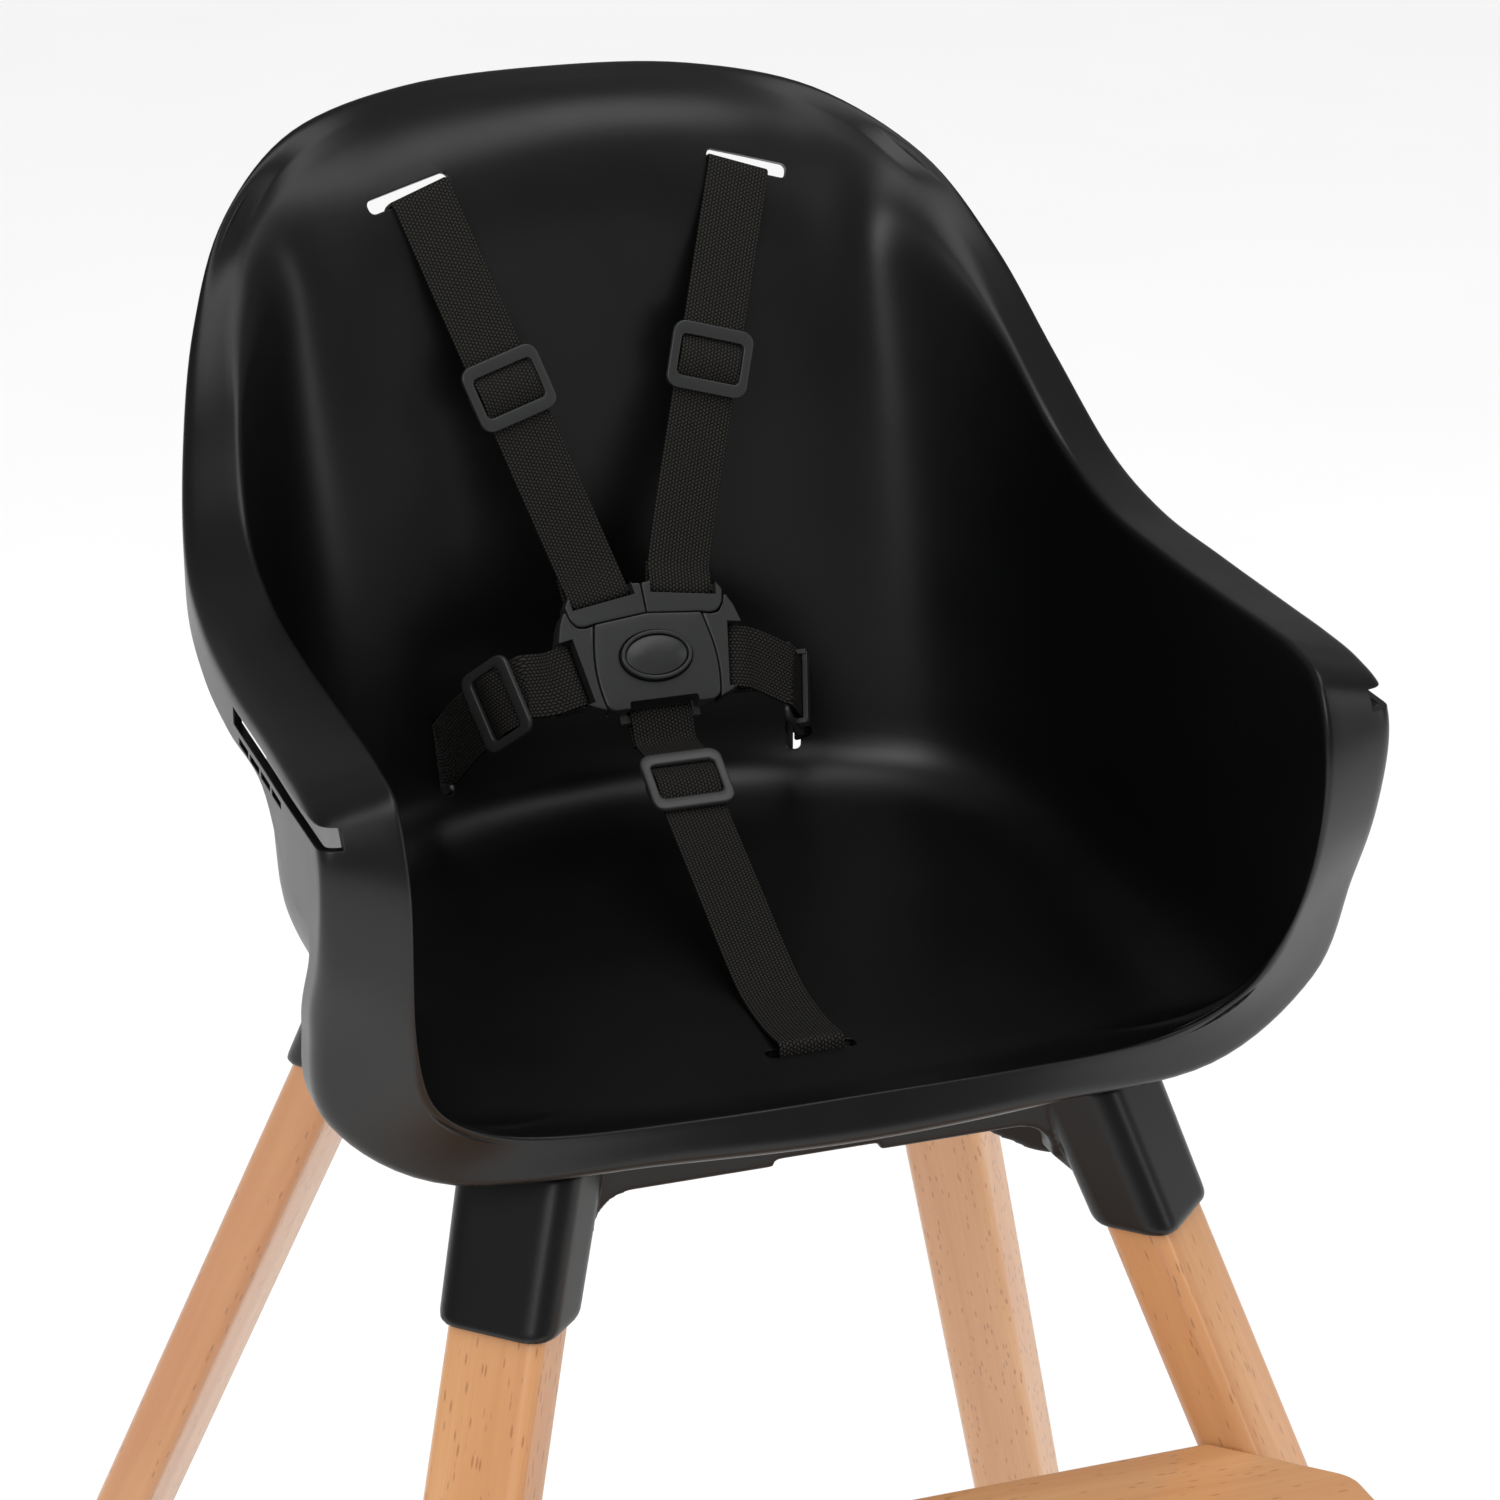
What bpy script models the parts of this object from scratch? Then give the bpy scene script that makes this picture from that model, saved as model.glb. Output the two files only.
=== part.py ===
"""High chair: moulded bucket seat on a socketed base, two-part beech legs, footrest and five-point harness.

Lengths in this file are millimetres; make_node turns them into metres.
The origin is on the floor under the middle of the seat, +Z is up and the chair faces -Y.
Left and right are the sitter's own, so "left" is +X.
"""
import math

import bmesh
import bpy
from mathutils import Matrix, Vector

MM = 0.001
GAP = 0.3                      # clearance between pieces that touch
BOOLEAN_OVERRUN = 6.0          # how far a cutter runs past the face it opens

# ---------------------------------------------------------------- driving dimensions
WALL = 3.0                     # moulded wall of the seat shell
SHELL_STATIONS = 4             # loft sections between two neighbouring rim stations
SLOT_LENGTH = 34.0             # harness slots in the shell
SLOT_WIDTH = 6.0

LEG_DEPTH = 25.0               # leg section along the diagonal of the chair
LEG_WIDTH = 38.0               # leg section across it
LEG_ROUND = 5.0
LEG_X_AT_SOCKET = 123.0        # centre line of a leg at the mouth of its socket
LEG_Y_AT_SOCKET = 117.0
SOCKET_MOUTH_Z = 478.0
LEG_SPLAY_X = 0.311            # outward run for each millimetre down
LEG_SPLAY_Y = 0.397
LEG_TOP_Z = 525.0
FOOT_PAD_HEIGHT = 5.0

SOCKET_WALL = 4.0
SOCKET_ROUND = 9.0
BASE_TOP_Z = 541.0
BEAM_BOTTOM_Z = 514.0

FOOTREST_TOP_Z = 401.0
FOOTREST_THICKNESS = 18.0
FOOTREST_BACK_Y = -158.0
FOOTREST_FRONT_Y = -248.0
FOOTREST_HALF_WIDTH = 170.0

WEBBING_WIDTH = 25.0
WEBBING_THICKNESS = 1.4

BUCKLE_CENTRE = Vector((0.0, 95.0, 642.0))
BUCKLE_LEAN = math.radians(36.0)       # lean of the buckle from the vertical

# ---------------------------------------------------------------- scene and mesh helpers


def clear_scene():
    for existing in list(bpy.data.objects):
        bpy.data.objects.remove(existing, do_unlink=True)


def make_material(name, colour, roughness, metallic=0.0):
    material = bpy.data.materials.new(name)
    material.use_nodes = True
    shader = material.node_tree.nodes["Principled BSDF"]
    shader.inputs["Base Color"].default_value = (*colour, 1.0)
    shader.inputs["Roughness"].default_value = roughness
    shader.inputs["Metallic"].default_value = metallic
    return material


def make_node(name, solid, material, smooth_angle=math.radians(35)):
    """Turn a bmesh in millimetres into a named object in metres."""
    bmesh.ops.scale(solid, vec=(MM, MM, MM), verts=solid.verts)
    mesh = bpy.data.meshes.new(name)
    solid.to_mesh(mesh)
    solid.free()
    mesh.shade_smooth()
    mesh.set_sharp_from_angle(angle=smooth_angle)
    node = bpy.data.objects.new(name, mesh)
    bpy.context.collection.objects.link(node)
    if material:
        mesh.materials.append(material)
    return node


def boolean(node, tool, operation):
    """Cut or join a tool solid, given as a bmesh in millimetres."""
    cutter = make_node(f"{node.name}_tool", tool, None)
    cutter.hide_render = True
    cutter.display_type = "WIRE"
    modifier = node.modifiers.new(operation.lower(), "BOOLEAN")
    modifier.object = cutter
    modifier.operation = operation
    modifier.solver = "EXACT"


def cut(node, tool):
    boolean(node, tool, "DIFFERENCE")


def join(node, tool):
    boolean(node, tool, "UNION")


def loft(rings):
    """Skin rings of points into one closed solid with flat ends."""
    solid = bmesh.new()
    loops = [[solid.verts.new(point) for point in ring] for ring in rings]
    for lower, upper in zip(loops, loops[1:]):
        for i in range(len(lower)):
            j = (i + 1) % len(lower)
            solid.faces.new((lower[i], lower[j], upper[j], upper[i]))
    solid.faces.new(list(reversed(loops[0])))
    solid.faces.new(loops[-1])
    bmesh.ops.recalc_face_normals(solid, faces=solid.faces)
    return solid


def gather(solids):
    """Put separate solids into one bmesh, for a group of like pieces in one node."""
    group = bmesh.new()
    for solid in solids:
        mesh = bpy.data.meshes.new("gathered")
        solid.to_mesh(mesh)
        solid.free()
        group.from_mesh(mesh)
        bpy.data.meshes.remove(mesh)
    return group


def arc(centre, radius, start_degrees, end_degrees, steps, radius_y=None):
    """Points of a circular or elliptical arc, ends included."""
    points = []
    for i in range(steps + 1):
        angle = math.radians(start_degrees + (end_degrees - start_degrees) * i / steps)
        points.append((centre[0] + radius * math.cos(angle), centre[1] + (radius_y or radius) * math.sin(angle)))
    return points


def ellipse(radius_x, radius_y, sides=32):
    return arc((0, 0), radius_x, 0, 360 * (sides - 1) / sides, sides - 1, radius_y)


def rounded_polygon(corners, radii, steps=4):
    """A counter-clockwise outline whose corners are rounded by arcs of the given radii."""
    outline = []
    count = len(corners)
    for i, (corner, radius) in enumerate(zip(corners, radii)):
        here = Vector(corner)
        before = (Vector(corners[i - 1]) - here).normalized()
        after = (Vector(corners[(i + 1) % count]) - here).normalized()
        if radius <= 0:
            outline.append(tuple(here))
            continue
        half = before.angle(after) / 2
        reach = radius / math.tan(half)
        middle = here + (before + after).normalized() * (radius / math.sin(half))
        first = here + before * reach - middle
        last = here + after * reach - middle
        sweep = math.atan2(first.cross(last), first.dot(last))
        for k in range(steps + 1):
            angle = sweep * k / steps
            turned = Matrix.Rotation(angle, 2) @ first
            outline.append(tuple(middle + turned))
    return outline


def rectangle(width, height, radius=0.0, steps=4, centre=(0.0, 0.0)):
    x, y = width / 2, height / 2
    corners = [(-x, -y), (x, -y), (x, y), (-x, y)]
    corners = [(cx + centre[0], cy + centre[1]) for cx, cy in corners]
    return rounded_polygon(corners, [radius] * 4, steps)


def prism(outline, low, high, chamfer=0.0):
    """Extrude an outline along local Z, with an optional chamfer on both end edges."""
    if chamfer <= 0:
        return loft([[(x, y, z) for x, y in outline] for z in (low, high)])
    centre_x = sum(x for x, _ in outline) / len(outline)
    centre_y = sum(y for _, y in outline) / len(outline)
    reach_x = max(abs(x - centre_x) for x, _ in outline)
    reach_y = max(abs(y - centre_y) for _, y in outline)
    shrink_x = 1 - chamfer / reach_x
    shrink_y = 1 - chamfer / reach_y
    small = [(centre_x + (x - centre_x) * shrink_x, centre_y + (y - centre_y) * shrink_y) for x, y in outline]
    levels = ((small, low), (outline, low + chamfer), (outline, high - chamfer), (small, high))
    return loft([[(x, y, z) for x, y in ring] for ring, z in levels])


def box(low, high):
    corners = [(low[0], low[1]), (high[0], low[1]), (high[0], high[1]), (low[0], high[1])]
    return prism(corners, low[2], high[2])


def placed(solid, matrix):
    bmesh.ops.transform(solid, matrix=matrix, verts=solid.verts)
    if matrix.determinant() < 0:
        bmesh.ops.reverse_faces(solid, faces=solid.faces)
    return solid


def frame_at(origin, x_axis, z_axis):
    """Matrix whose local X and Z run along the given directions."""
    z = Vector(z_axis).normalized()
    x = Vector(x_axis)
    x = (x - z * x.dot(z)).normalized()
    y = z.cross(x)
    matrix = Matrix((x, y, z)).transposed().to_4x4()
    matrix.translation = Vector(origin)
    return matrix


def rod(start, end, radius, sides=20):
    """A round bar between two points."""
    axis = Vector(end) - Vector(start)
    side = (0, 0, 1) if abs(axis.normalized().z) < 0.9 else (1, 0, 0)
    return placed(prism(ellipse(radius, radius, sides), 0, axis.length), frame_at(start, side, axis))


# ---------------------------------------------------------------- seat shell
# One row for each section of the shell, from the top of the back round the arm to the middle of the lip:
# inner edge of the flange, outer edge of the flange, skirt vector, corner where the wall would meet the
# pan, edge of the flat pan, step from the inner edge to the top of the wall, radius of the roll between
# them, height of the pan fillet.
SHELL_ROWS = [
    ((0, 197, 838), (0, 222, 844), (0, 4, -20), (0, 142), (0, 118), (0, -24, -7), 14, 20),
    ((60, 196, 833), (58, 218, 842), (0, 4, -20), (52, 135.5), (46, 112.5), (1, -25, -10), 14, 20),
    ((96, 191, 821), (108, 202, 832), (0, 3, -20), (90, 121), (80, 99.5), (-9, -22, -12), 13, 22),
    ((125, 178, 802), (143, 170, 809), (0, 2, -20), (122, 102), (104, 84), (-9, -10, -8), 12, 24),
    ((142, 145, 781), (163, 141, 776), (0, 0, -20), (143, 79), (120, 64), (-5, -3, -4), 10, 26),
    ((152, 111, 750), (176, 109, 739), (0, 0, -20), (154, 56), (126, 45), (0, 0, 0), 8, 29),
    ((160, 74, 717), (185, 72, 708), (0, 0, -20), (159, 33), (128, 26), (0, 0, 0), 7, 32),
    ((162, 30, 701), (189, 30, 695.5), (0, 0, -20), (160, 5), (126, 2), (0, 0, 0), 6, 35),
    ((163, -20, 697.5), (191.5, -20, 692.5), (0, 0, -20), (160, -28), (124, -28), (0, 0, 0), 6, 38),
    ((163.5, -72, 697.5), (192, -72, 692), (0, 0, -20.5), (160, -58), (122, -56), (0, 0, 0), 6, 40),
    ((164, -105, 698), (192.5, -105, 691.5), (0, 0, -44), (160, -80), (120, -76), (0, 0, 0), 6, 42),
    ((164.5, -130, 697), (192.5, -130, 690), (0, 2, -46), (160, -97), (118, -89), (0, 0, 0), 6, 42),
    ((164, -151, 691), (192.5, -149, 684.5), (0, 16, -41), (159.5, -110), (116, -98), (0, 0, 0), 6, 42),
    ((164, -162, 668), (192.5, -155, 668), (0, 21, -26), (159, -120), (113, -104), (0, 0, 0), 6, 42),
    ((164, -161, 640), (192.5, -148, 636), (0, 16, -4), (157, -130), (108, -109), (0, 0, 0), 6, 42),
    ((162, -152, 608), (192.5, -133, 606), (0, 16, -3), (152, -135), (101, -112), (0, 0, 0), 6, 42),
    ((153, -138, 574), (185, -121, 563), (0, 15, 2), (140, -132), (90, -113), (0, 0, 0), 5, 42),
    ((122, -132, 555), (144, -124, 535), (-2, 12, 0), (108, -124), (72, -113.5), (0, 0, 0), 4, 42),
    ((63, -144, 558), (69, -147, 542), (0, 10, -3), (58, -132), (40, -114), (0, 0, 0), 4, 42),
    ((0, -148, 560), (0, -155, 544), (0, 9, -4), (0, -136), (0, -114), (0, 0, 0), 4, 42),
]
PAN_FRONT_Y = -110.0
PAN_FRONT_Z = 549.0
PAN_RISE = 0.0526              # the pan climbs this much for each millimetre towards the back
FLANGE_ROUND = 6.0
ROLL_STEPS = 3
FILLET_STEPS = 4
SHOULDER_SLOT = Vector((69, 175.9, 807.0))
STRAP_INWARD = 3.9             # from the middle of the shoulder slot towards the middle of the back
STRAP_DOWN = 1.9
STRAP_ASKEW = math.radians(4.5)
SHOULDER_SLOT_TILT = math.radians(17)
SHOULDER_SLOT_AXIS = Vector((0, 0.9, -0.43))    # through the wall, from the front to the back
WAIST_SLOT = Vector((74.5, 135.2, 591))
WAIST_SLOT_AXIS = Vector((0.36, 0.92, -0.17))
CROTCH_SLOT_Y = -89.0
RAIL_REAR_Y = -30.0            # the tray groove is open from here to the front
RAIL_LOW_Z = 679.0
RAIL_HIGH_Z = 685.5
RAIL_INNER_X = 184.5
RAIL_NOTCHES = 4
RAIL_NOTCH_PITCH = 16.5
BOSS_PLACES = [(60, -54), (-60, -54), (60, 54), (-60, 54)]
BOSS_RADIUS = 7.0
BOSS_HOLE_RADIUS = 2.2
BOSS_HOLE_TOP = 547.5
BOSS_FOOT_Z = BASE_TOP_Z + GAP


def pan_height(y):
    return PAN_FRONT_Z + (y - PAN_FRONT_Y) * PAN_RISE


def blend_rows(before, start, end, after, t):
    """Catmull-Rom value between two rows' vectors."""
    slope_in = (end - before) / 2
    slope_out = (after - start) / 2
    return (
        start * (2 * t**3 - 3 * t**2 + 1)
        + slope_in * (t**3 - 2 * t**2 + t)
        + end * (3 * t**2 - 2 * t**3)
        + slope_out * (t**3 - t**2)
    )


def row_vectors(row, mirror):
    """A row's points as vectors, with the scalar columns in one more vector."""
    inner, outer, skirt, corner, pan_edge, inset, roll, fillet = row
    flip = Vector((mirror, 1, 1))
    points = [Vector(inner), Vector(outer), Vector(skirt), Vector((*corner, 0)), Vector((*pan_edge, 0)), Vector(inset)]
    return [point * flip for point in points] + [Vector((roll, fillet, 0))]


def half_sections(steps):
    """Sections from the middle of the back to the middle of the lip, `steps` in each interval."""
    rows = [row_vectors(row, 1) for row in SHELL_ROWS]
    rows = [row_vectors(SHELL_ROWS[1], -1)] + rows + [row_vectors(SHELL_ROWS[-2], -1)]
    sections = []
    for i in range(1, len(rows) - 2):
        for k in range(steps):
            quartets = zip(rows[i - 1], rows[i], rows[i + 1], rows[i + 2])
            sections.append([blend_rows(*quartet, k / steps) for quartet in quartets])
    sections.append(rows[-2])
    return sections


def bend(start, control, end, steps):
    """Points of a quadratic curve after its start, up to its end."""
    points = []
    for i in range(1, steps + 1):
        t = i / steps
        points.append(start * (1 - t) ** 2 + control * 2 * t * (1 - t) + end * t**2)
    return points


def section_profile(section):
    """The visible face of one section, from the bottom of the skirt to the edge of the pan."""
    inner, outer, skirt, corner, pan_edge, inset, scalars = section
    roll, fillet = scalars.xy
    corner = Vector((corner.x, corner.y, pan_height(corner.y)))
    pan_edge = Vector((pan_edge.x, pan_edge.y, pan_height(pan_edge.y)))
    across = (outer - inner).normalized()
    down = skirt.normalized()
    flange_start = outer - across * FLANGE_ROUND
    roll_start = inner + across * roll * 0.5
    roll_corner = inner + inset
    wall = corner - roll_corner
    wall_length = wall.length
    wall.normalize()
    wall_start = roll_corner + wall * min(roll + inset.length, wall_length * 0.3)
    wall_end = corner - wall * min(fillet, (corner - wall_start).length * 0.95)
    profile = [outer + skirt, outer + down * min(FLANGE_ROUND, skirt.length * 0.6)]
    profile += bend(profile[-1], outer, flange_start, ROLL_STEPS)
    profile.append(roll_start)
    profile += bend(roll_start, roll_corner, wall_start, ROLL_STEPS)
    profile.append(wall_end)
    profile += bend(wall_end, corner, pan_edge, FILLET_STEPS)
    return profile


def shell_sheet(steps):
    """The visible face of the whole shell as one open sheet, facing up and inwards."""
    sheet = bmesh.new()
    half = [section_profile(section) for section in half_sections(steps)]
    right = [[sheet.verts.new(point) for point in profile] for profile in half]
    left = [right[0]]
    for profile in half[1:-1]:
        left.append([sheet.verts.new((-point.x, point.y, point.z)) for point in profile])
    left.append(right[-1])
    for side in (right, left):
        for first, second in zip(side, side[1:]):
            for i in range(len(first) - 1):
                sheet.faces.new((first[i], first[i + 1], second[i + 1], second[i]))
    for i in range(len(half) - 1):
        corners = [right[i][-1], right[i + 1][-1], left[i + 1][-1], left[i][-1]]
        unique = [corner for k, corner in enumerate(corners) if corner not in corners[:k]]
        sheet.faces.new(unique)
    bmesh.ops.recalc_face_normals(sheet, faces=sheet.faces)
    pan = min(sheet.faces, key=lambda face: face.calc_center_median().xy.length)
    if pan.normal.z < 0:
        bmesh.ops.reverse_faces(sheet, faces=sheet.faces)
    return sheet


def shoulder_slot_frame(side):
    """Local X along the slot, local Z through the wall, for one side of the back."""
    along = Vector((-math.cos(SHOULDER_SLOT_TILT), 0, side * math.sin(SHOULDER_SLOT_TILT)))
    centre = Vector((side * SHOULDER_SLOT.x, SHOULDER_SLOT.y, SHOULDER_SLOT.z))
    return frame_at(centre, along, SHOULDER_SLOT_AXIS)


def shoulder_strap_frame(side):
    """The strap sits at the inner end of its slot, low and a little askew."""
    shift = Matrix.Translation((side * STRAP_INWARD, -STRAP_DOWN, 0))
    return shoulder_slot_frame(side) @ shift @ Matrix.Rotation(side * STRAP_ASKEW, 4, "Z")


def waist_slot_frame(side):
    """The same for the upright slot beside the sitter's hip; local Y points outwards."""
    centre = Vector((side * WAIST_SLOT.x, WAIST_SLOT.y, WAIST_SLOT.z))
    axis = Vector((side * WAIST_SLOT_AXIS.x, WAIST_SLOT_AXIS.y, WAIST_SLOT_AXIS.z))
    return frame_at(centre, (0, 0, side), axis)


def slot_cutters():
    cutters = []
    depth = 16
    for side in (1, -1):
        shoulder = prism(rectangle(SLOT_LENGTH, SLOT_WIDTH, 2.2, 3), -depth, depth)
        cutters.append(placed(shoulder, shoulder_slot_frame(side)))
        waist = prism(rectangle(SLOT_LENGTH, SLOT_WIDTH, 2.2, 3), -depth, depth)
        cutters.append(placed(waist, waist_slot_frame(side)))
    crotch = prism(rectangle(SLOT_LENGTH, SLOT_WIDTH, 2.2, 3), -10, 10)
    cutters.append(placed(crotch, Matrix.Translation((0, CROTCH_SLOT_Y, PAN_FRONT_Z))))
    return cutters


def rail_cutters():
    """The tray groove and the click notches of the rail under it, on both arms."""
    cutters = []
    for side in (1, -1):
        outside = 205
        low, high = sorted((side * RAIL_INNER_X, side * outside))
        cutters.append(box((low, -175, RAIL_LOW_Z), (high, RAIL_REAR_Y, RAIL_HIGH_Z)))
        low, high = sorted((side * (RAIL_INNER_X + 3), side * outside))
        for i in range(RAIL_NOTCHES):
            rear = RAIL_REAR_Y - 8 - i * RAIL_NOTCH_PITCH
            cutters.append(box((low, rear - RAIL_NOTCH_PITCH + 2.5, 674.2), (high, rear, 676.8)))
    return cutters


def build_seat_shell(material):
    sheet = shell_sheet(SHELL_STATIONS // 2)
    shell = make_node("seat_shell", sheet, material)
    solidify = shell.modifiers.new("wall", "SOLIDIFY")
    solidify.thickness = WALL * MM
    solidify.offset = -1
    solidify.use_even_offset = False
    for x, y in BOSS_PLACES:
        boss = prism(ellipse(BOSS_RADIUS, BOSS_RADIUS, 16), BOSS_FOOT_Z, pan_height(y) - WALL / 2)
        join(shell, placed(boss, Matrix.Translation((x, y, 0))))
    holes = [
        placed(prism(ellipse(BOSS_HOLE_RADIUS, BOSS_HOLE_RADIUS, 12), BASE_TOP_Z - 5, BOSS_HOLE_TOP),
               Matrix.Translation((x, y, 0)))
        for x, y in BOSS_PLACES
    ]
    cut(shell, gather(holes + slot_cutters() + rail_cutters()))
    return shell


# ---------------------------------------------------------------- legs
RADIAL = Vector((1, -1, 0)).normalized()         # outwards along the front left diagonal
TANGENT = Vector((1, 1, 0)).normalized()
CORNERS = {
    "front_left": (1, 1),
    "front_right": (-1, 1),
    "rear_left": (1, -1),
    "rear_right": (-1, -1),
}
LEG_AXIS = Vector((LEG_SPLAY_X, -LEG_SPLAY_Y, -1)).normalized()
INSERT_LENGTH = 16.0
INSERT_RADIUS = 5.0
LEG_BOLT_RADIUS = 3.0
FOOTREST_BOLT_RADIUS = 3.0
FOOTREST_BOLT_Z = FOOTREST_TOP_Z - FOOTREST_THICKNESS / 2
BARREL_NUT_RADIUS = 5.0
BARREL_NUT_DEPTH = 18.0        # from the end face of the board to the middle of the nut


def leg_centre(z):
    drop = SOCKET_MOUTH_Z - z
    return Vector((LEG_X_AT_SOCKET + LEG_SPLAY_X * drop, -LEG_Y_AT_SOCKET - LEG_SPLAY_Y * drop, z))


def leg_ring(z, grow=0.0, radius=LEG_ROUND, steps=3):
    """Horizontal section of the front left leg."""
    centre = leg_centre(z)
    outline = rectangle(LEG_DEPTH + 2 * grow, LEG_WIDTH + 2 * grow, radius, steps)
    return [centre + RADIAL * u + TANGENT * v for u, v in outline]


def to_corner(solid, corner):
    """Carry a solid from the front left corner to another one."""
    return placed(solid, Matrix.Diagonal((*CORNERS[corner], 1, 1)))


def axis_point(z, along=0.0):
    return leg_centre(z) + LEG_AXIS * along


def footrest_bolt_line():
    """Start at the outside of the front left leg and direction into the board."""
    return leg_centre(FOOTREST_BOLT_Z) + TANGENT * (LEG_WIDTH / 2), -TANGENT


def build_legs(wood):
    for corner in CORNERS:
        stretch = loft([leg_ring(LEG_TOP_Z), leg_ring(FOOT_PAD_HEIGHT + GAP)])
        leg = make_node(f"{corner}_leg", to_corner(stretch, corner), wood)
        top = axis_point(LEG_TOP_Z)
        holes = [rod(top - LEG_AXIS * BOOLEAN_OVERRUN * 2, top + LEG_AXIS * (INSERT_LENGTH + 5),
                     INSERT_RADIUS + GAP, 16)]
        if corner.startswith("front"):
            start, inward = footrest_bolt_line()
            holes.append(rod(start - inward * BOOLEAN_OVERRUN, start + inward * (LEG_WIDTH + 8),
                             FOOTREST_BOLT_RADIUS + GAP, 16))
        cut(leg, to_corner(gather(holes), corner))


def build_foot_pads(rubber):
    for corner in CORNERS:
        rings = [
            leg_ring(0, -3.0, 4.0),
            leg_ring(1.0, -1.5, 4.5),
            leg_ring(FOOT_PAD_HEIGHT, -1.0, 4.5),
        ]
        make_node(f"{corner}_foot_pad", to_corner(loft(rings), corner), rubber)


def turned(profile, sides=20):
    """A solid of revolution about Z from a closed profile of (radius, height) points."""
    rings = []
    for i in range(sides):
        angle = 2 * math.pi * i / sides
        rings.append([(r * math.cos(angle), r * math.sin(angle), z) for r, z in profile])
    solid = bmesh.new()
    loops = [[solid.verts.new(point) for point in ring] for ring in rings]
    for k in range(sides):
        here, there = loops[k], loops[(k + 1) % sides]
        for i in range(len(profile)):
            j = (i + 1) % len(profile)
            solid.faces.new((here[i], here[j], there[j], there[i]))
    bmesh.ops.recalc_face_normals(solid, faces=solid.faces)
    return solid


def screw_profile(head_radius, head_height, shank_radius, length):
    """A round-headed screw pointing along +Z, with its head's underside at zero."""
    return [
        [(r, z) for r, z in ((head_radius * 0.72, -head_height), (head_radius, -head_height * 0.55),
                             (head_radius, 0), (shank_radius, 0), (shank_radius, length - 1),
                             (shank_radius * 0.7, length))]
    ][0]


def screw(head_radius, head_height, shank_radius, length, origin, direction, sides=16):
    profile = screw_profile(head_radius, head_height, shank_radius, length)
    rings = [[(r * math.cos(2 * math.pi * i / sides), r * math.sin(2 * math.pi * i / sides), z) for i in range(sides)]
             for r, z in profile]
    side = (0, 0, 1) if abs(Vector(direction).normalized().z) < 0.9 else (1, 0, 0)
    return placed(loft(rings), frame_at(origin, side, direction))


def build_leg_hardware(steel, brass):
    """A bolt and a threaded insert at each socket."""
    seat = axis_point(SOCKET_CEILING_Z, -3.0)
    bore = LEG_BOLT_RADIUS + GAP
    sleeve = [(bore, 0), (INSERT_RADIUS, 0), (INSERT_RADIUS, INSERT_LENGTH), (bore, INSERT_LENGTH)]
    insert_place = frame_at(axis_point(LEG_TOP_Z, 3.5), (1, 0, 0), LEG_AXIS)
    for corner in CORNERS:
        bolt = screw(5.5, 3.2, LEG_BOLT_RADIUS, 22, seat, LEG_AXIS)
        make_node(f"{corner}_leg_bolt", to_corner(bolt, corner), steel)
        insert = placed(turned(sleeve, 16), insert_place)
        make_node(f"{corner}_leg_insert", to_corner(insert, corner), brass)


# ---------------------------------------------------------------- base
SOCKET_CEILING_Z = 531.0
BEAM_HALF_LENGTH = 92.0
BEAM_FRONT_Y = 107.0
BEAM_THICKNESS = 12.0
SIDE_BEAM_X = 112.0
HUB_RADIUS = 34.0
HUB_HOLE_RADIUS = 20.0
WEB_THICKNESS = 12.0
ARCH_RADIUS = 13.5
BOSS_PAD_RADIUS = 10.0
SCREW_SEAT_Z = 533.0


def socket_ring(z, grow, radius):
    return leg_ring(z, SOCKET_WALL + grow, radius, 5)


def corner_web():
    """Upright web from the hub out to the front left socket."""
    direction = Vector((leg_centre(SOCKET_CEILING_Z).x, leg_centre(SOCKET_CEILING_Z).y, 0))
    outline = [(20, 516), (80, 504), (124, 493), (132, 493), (132, SOCKET_CEILING_Z - 2), (118, BASE_TOP_Z),
               (20, BASE_TOP_Z)]
    across = Vector((0, 0, 1)).cross(direction).normalized()
    matrix = Matrix((direction.normalized(), (0, 0, 1), -across)).transposed().to_4x4()
    return placed(prism(outline, -WEB_THICKNESS / 2, WEB_THICKNESS / 2), matrix)


def beam_arch():
    """Rounded haunch between the front beam and the front left socket."""
    corner_x = 88.0
    centre = (corner_x - ARCH_RADIUS, BEAM_BOTTOM_Z - ARCH_RADIUS)
    outline = [(corner_x + 10, BEAM_BOTTOM_Z + 8), (corner_x - ARCH_RADIUS, BEAM_BOTTOM_Z + 8)]
    outline += [(x, z) for x, z in reversed(arc(centre, ARCH_RADIUS, 0, 90, 5))]
    outline += [(corner_x + 10, BEAM_BOTTOM_Z - ARCH_RADIUS - 10)]
    matrix = Matrix(((1, 0, 0), (0, 0, 1), (0, -1, 0))).transposed().to_4x4()
    return placed(prism(outline, BEAM_FRONT_Y - BEAM_THICKNESS, BEAM_FRONT_Y), matrix)


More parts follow.
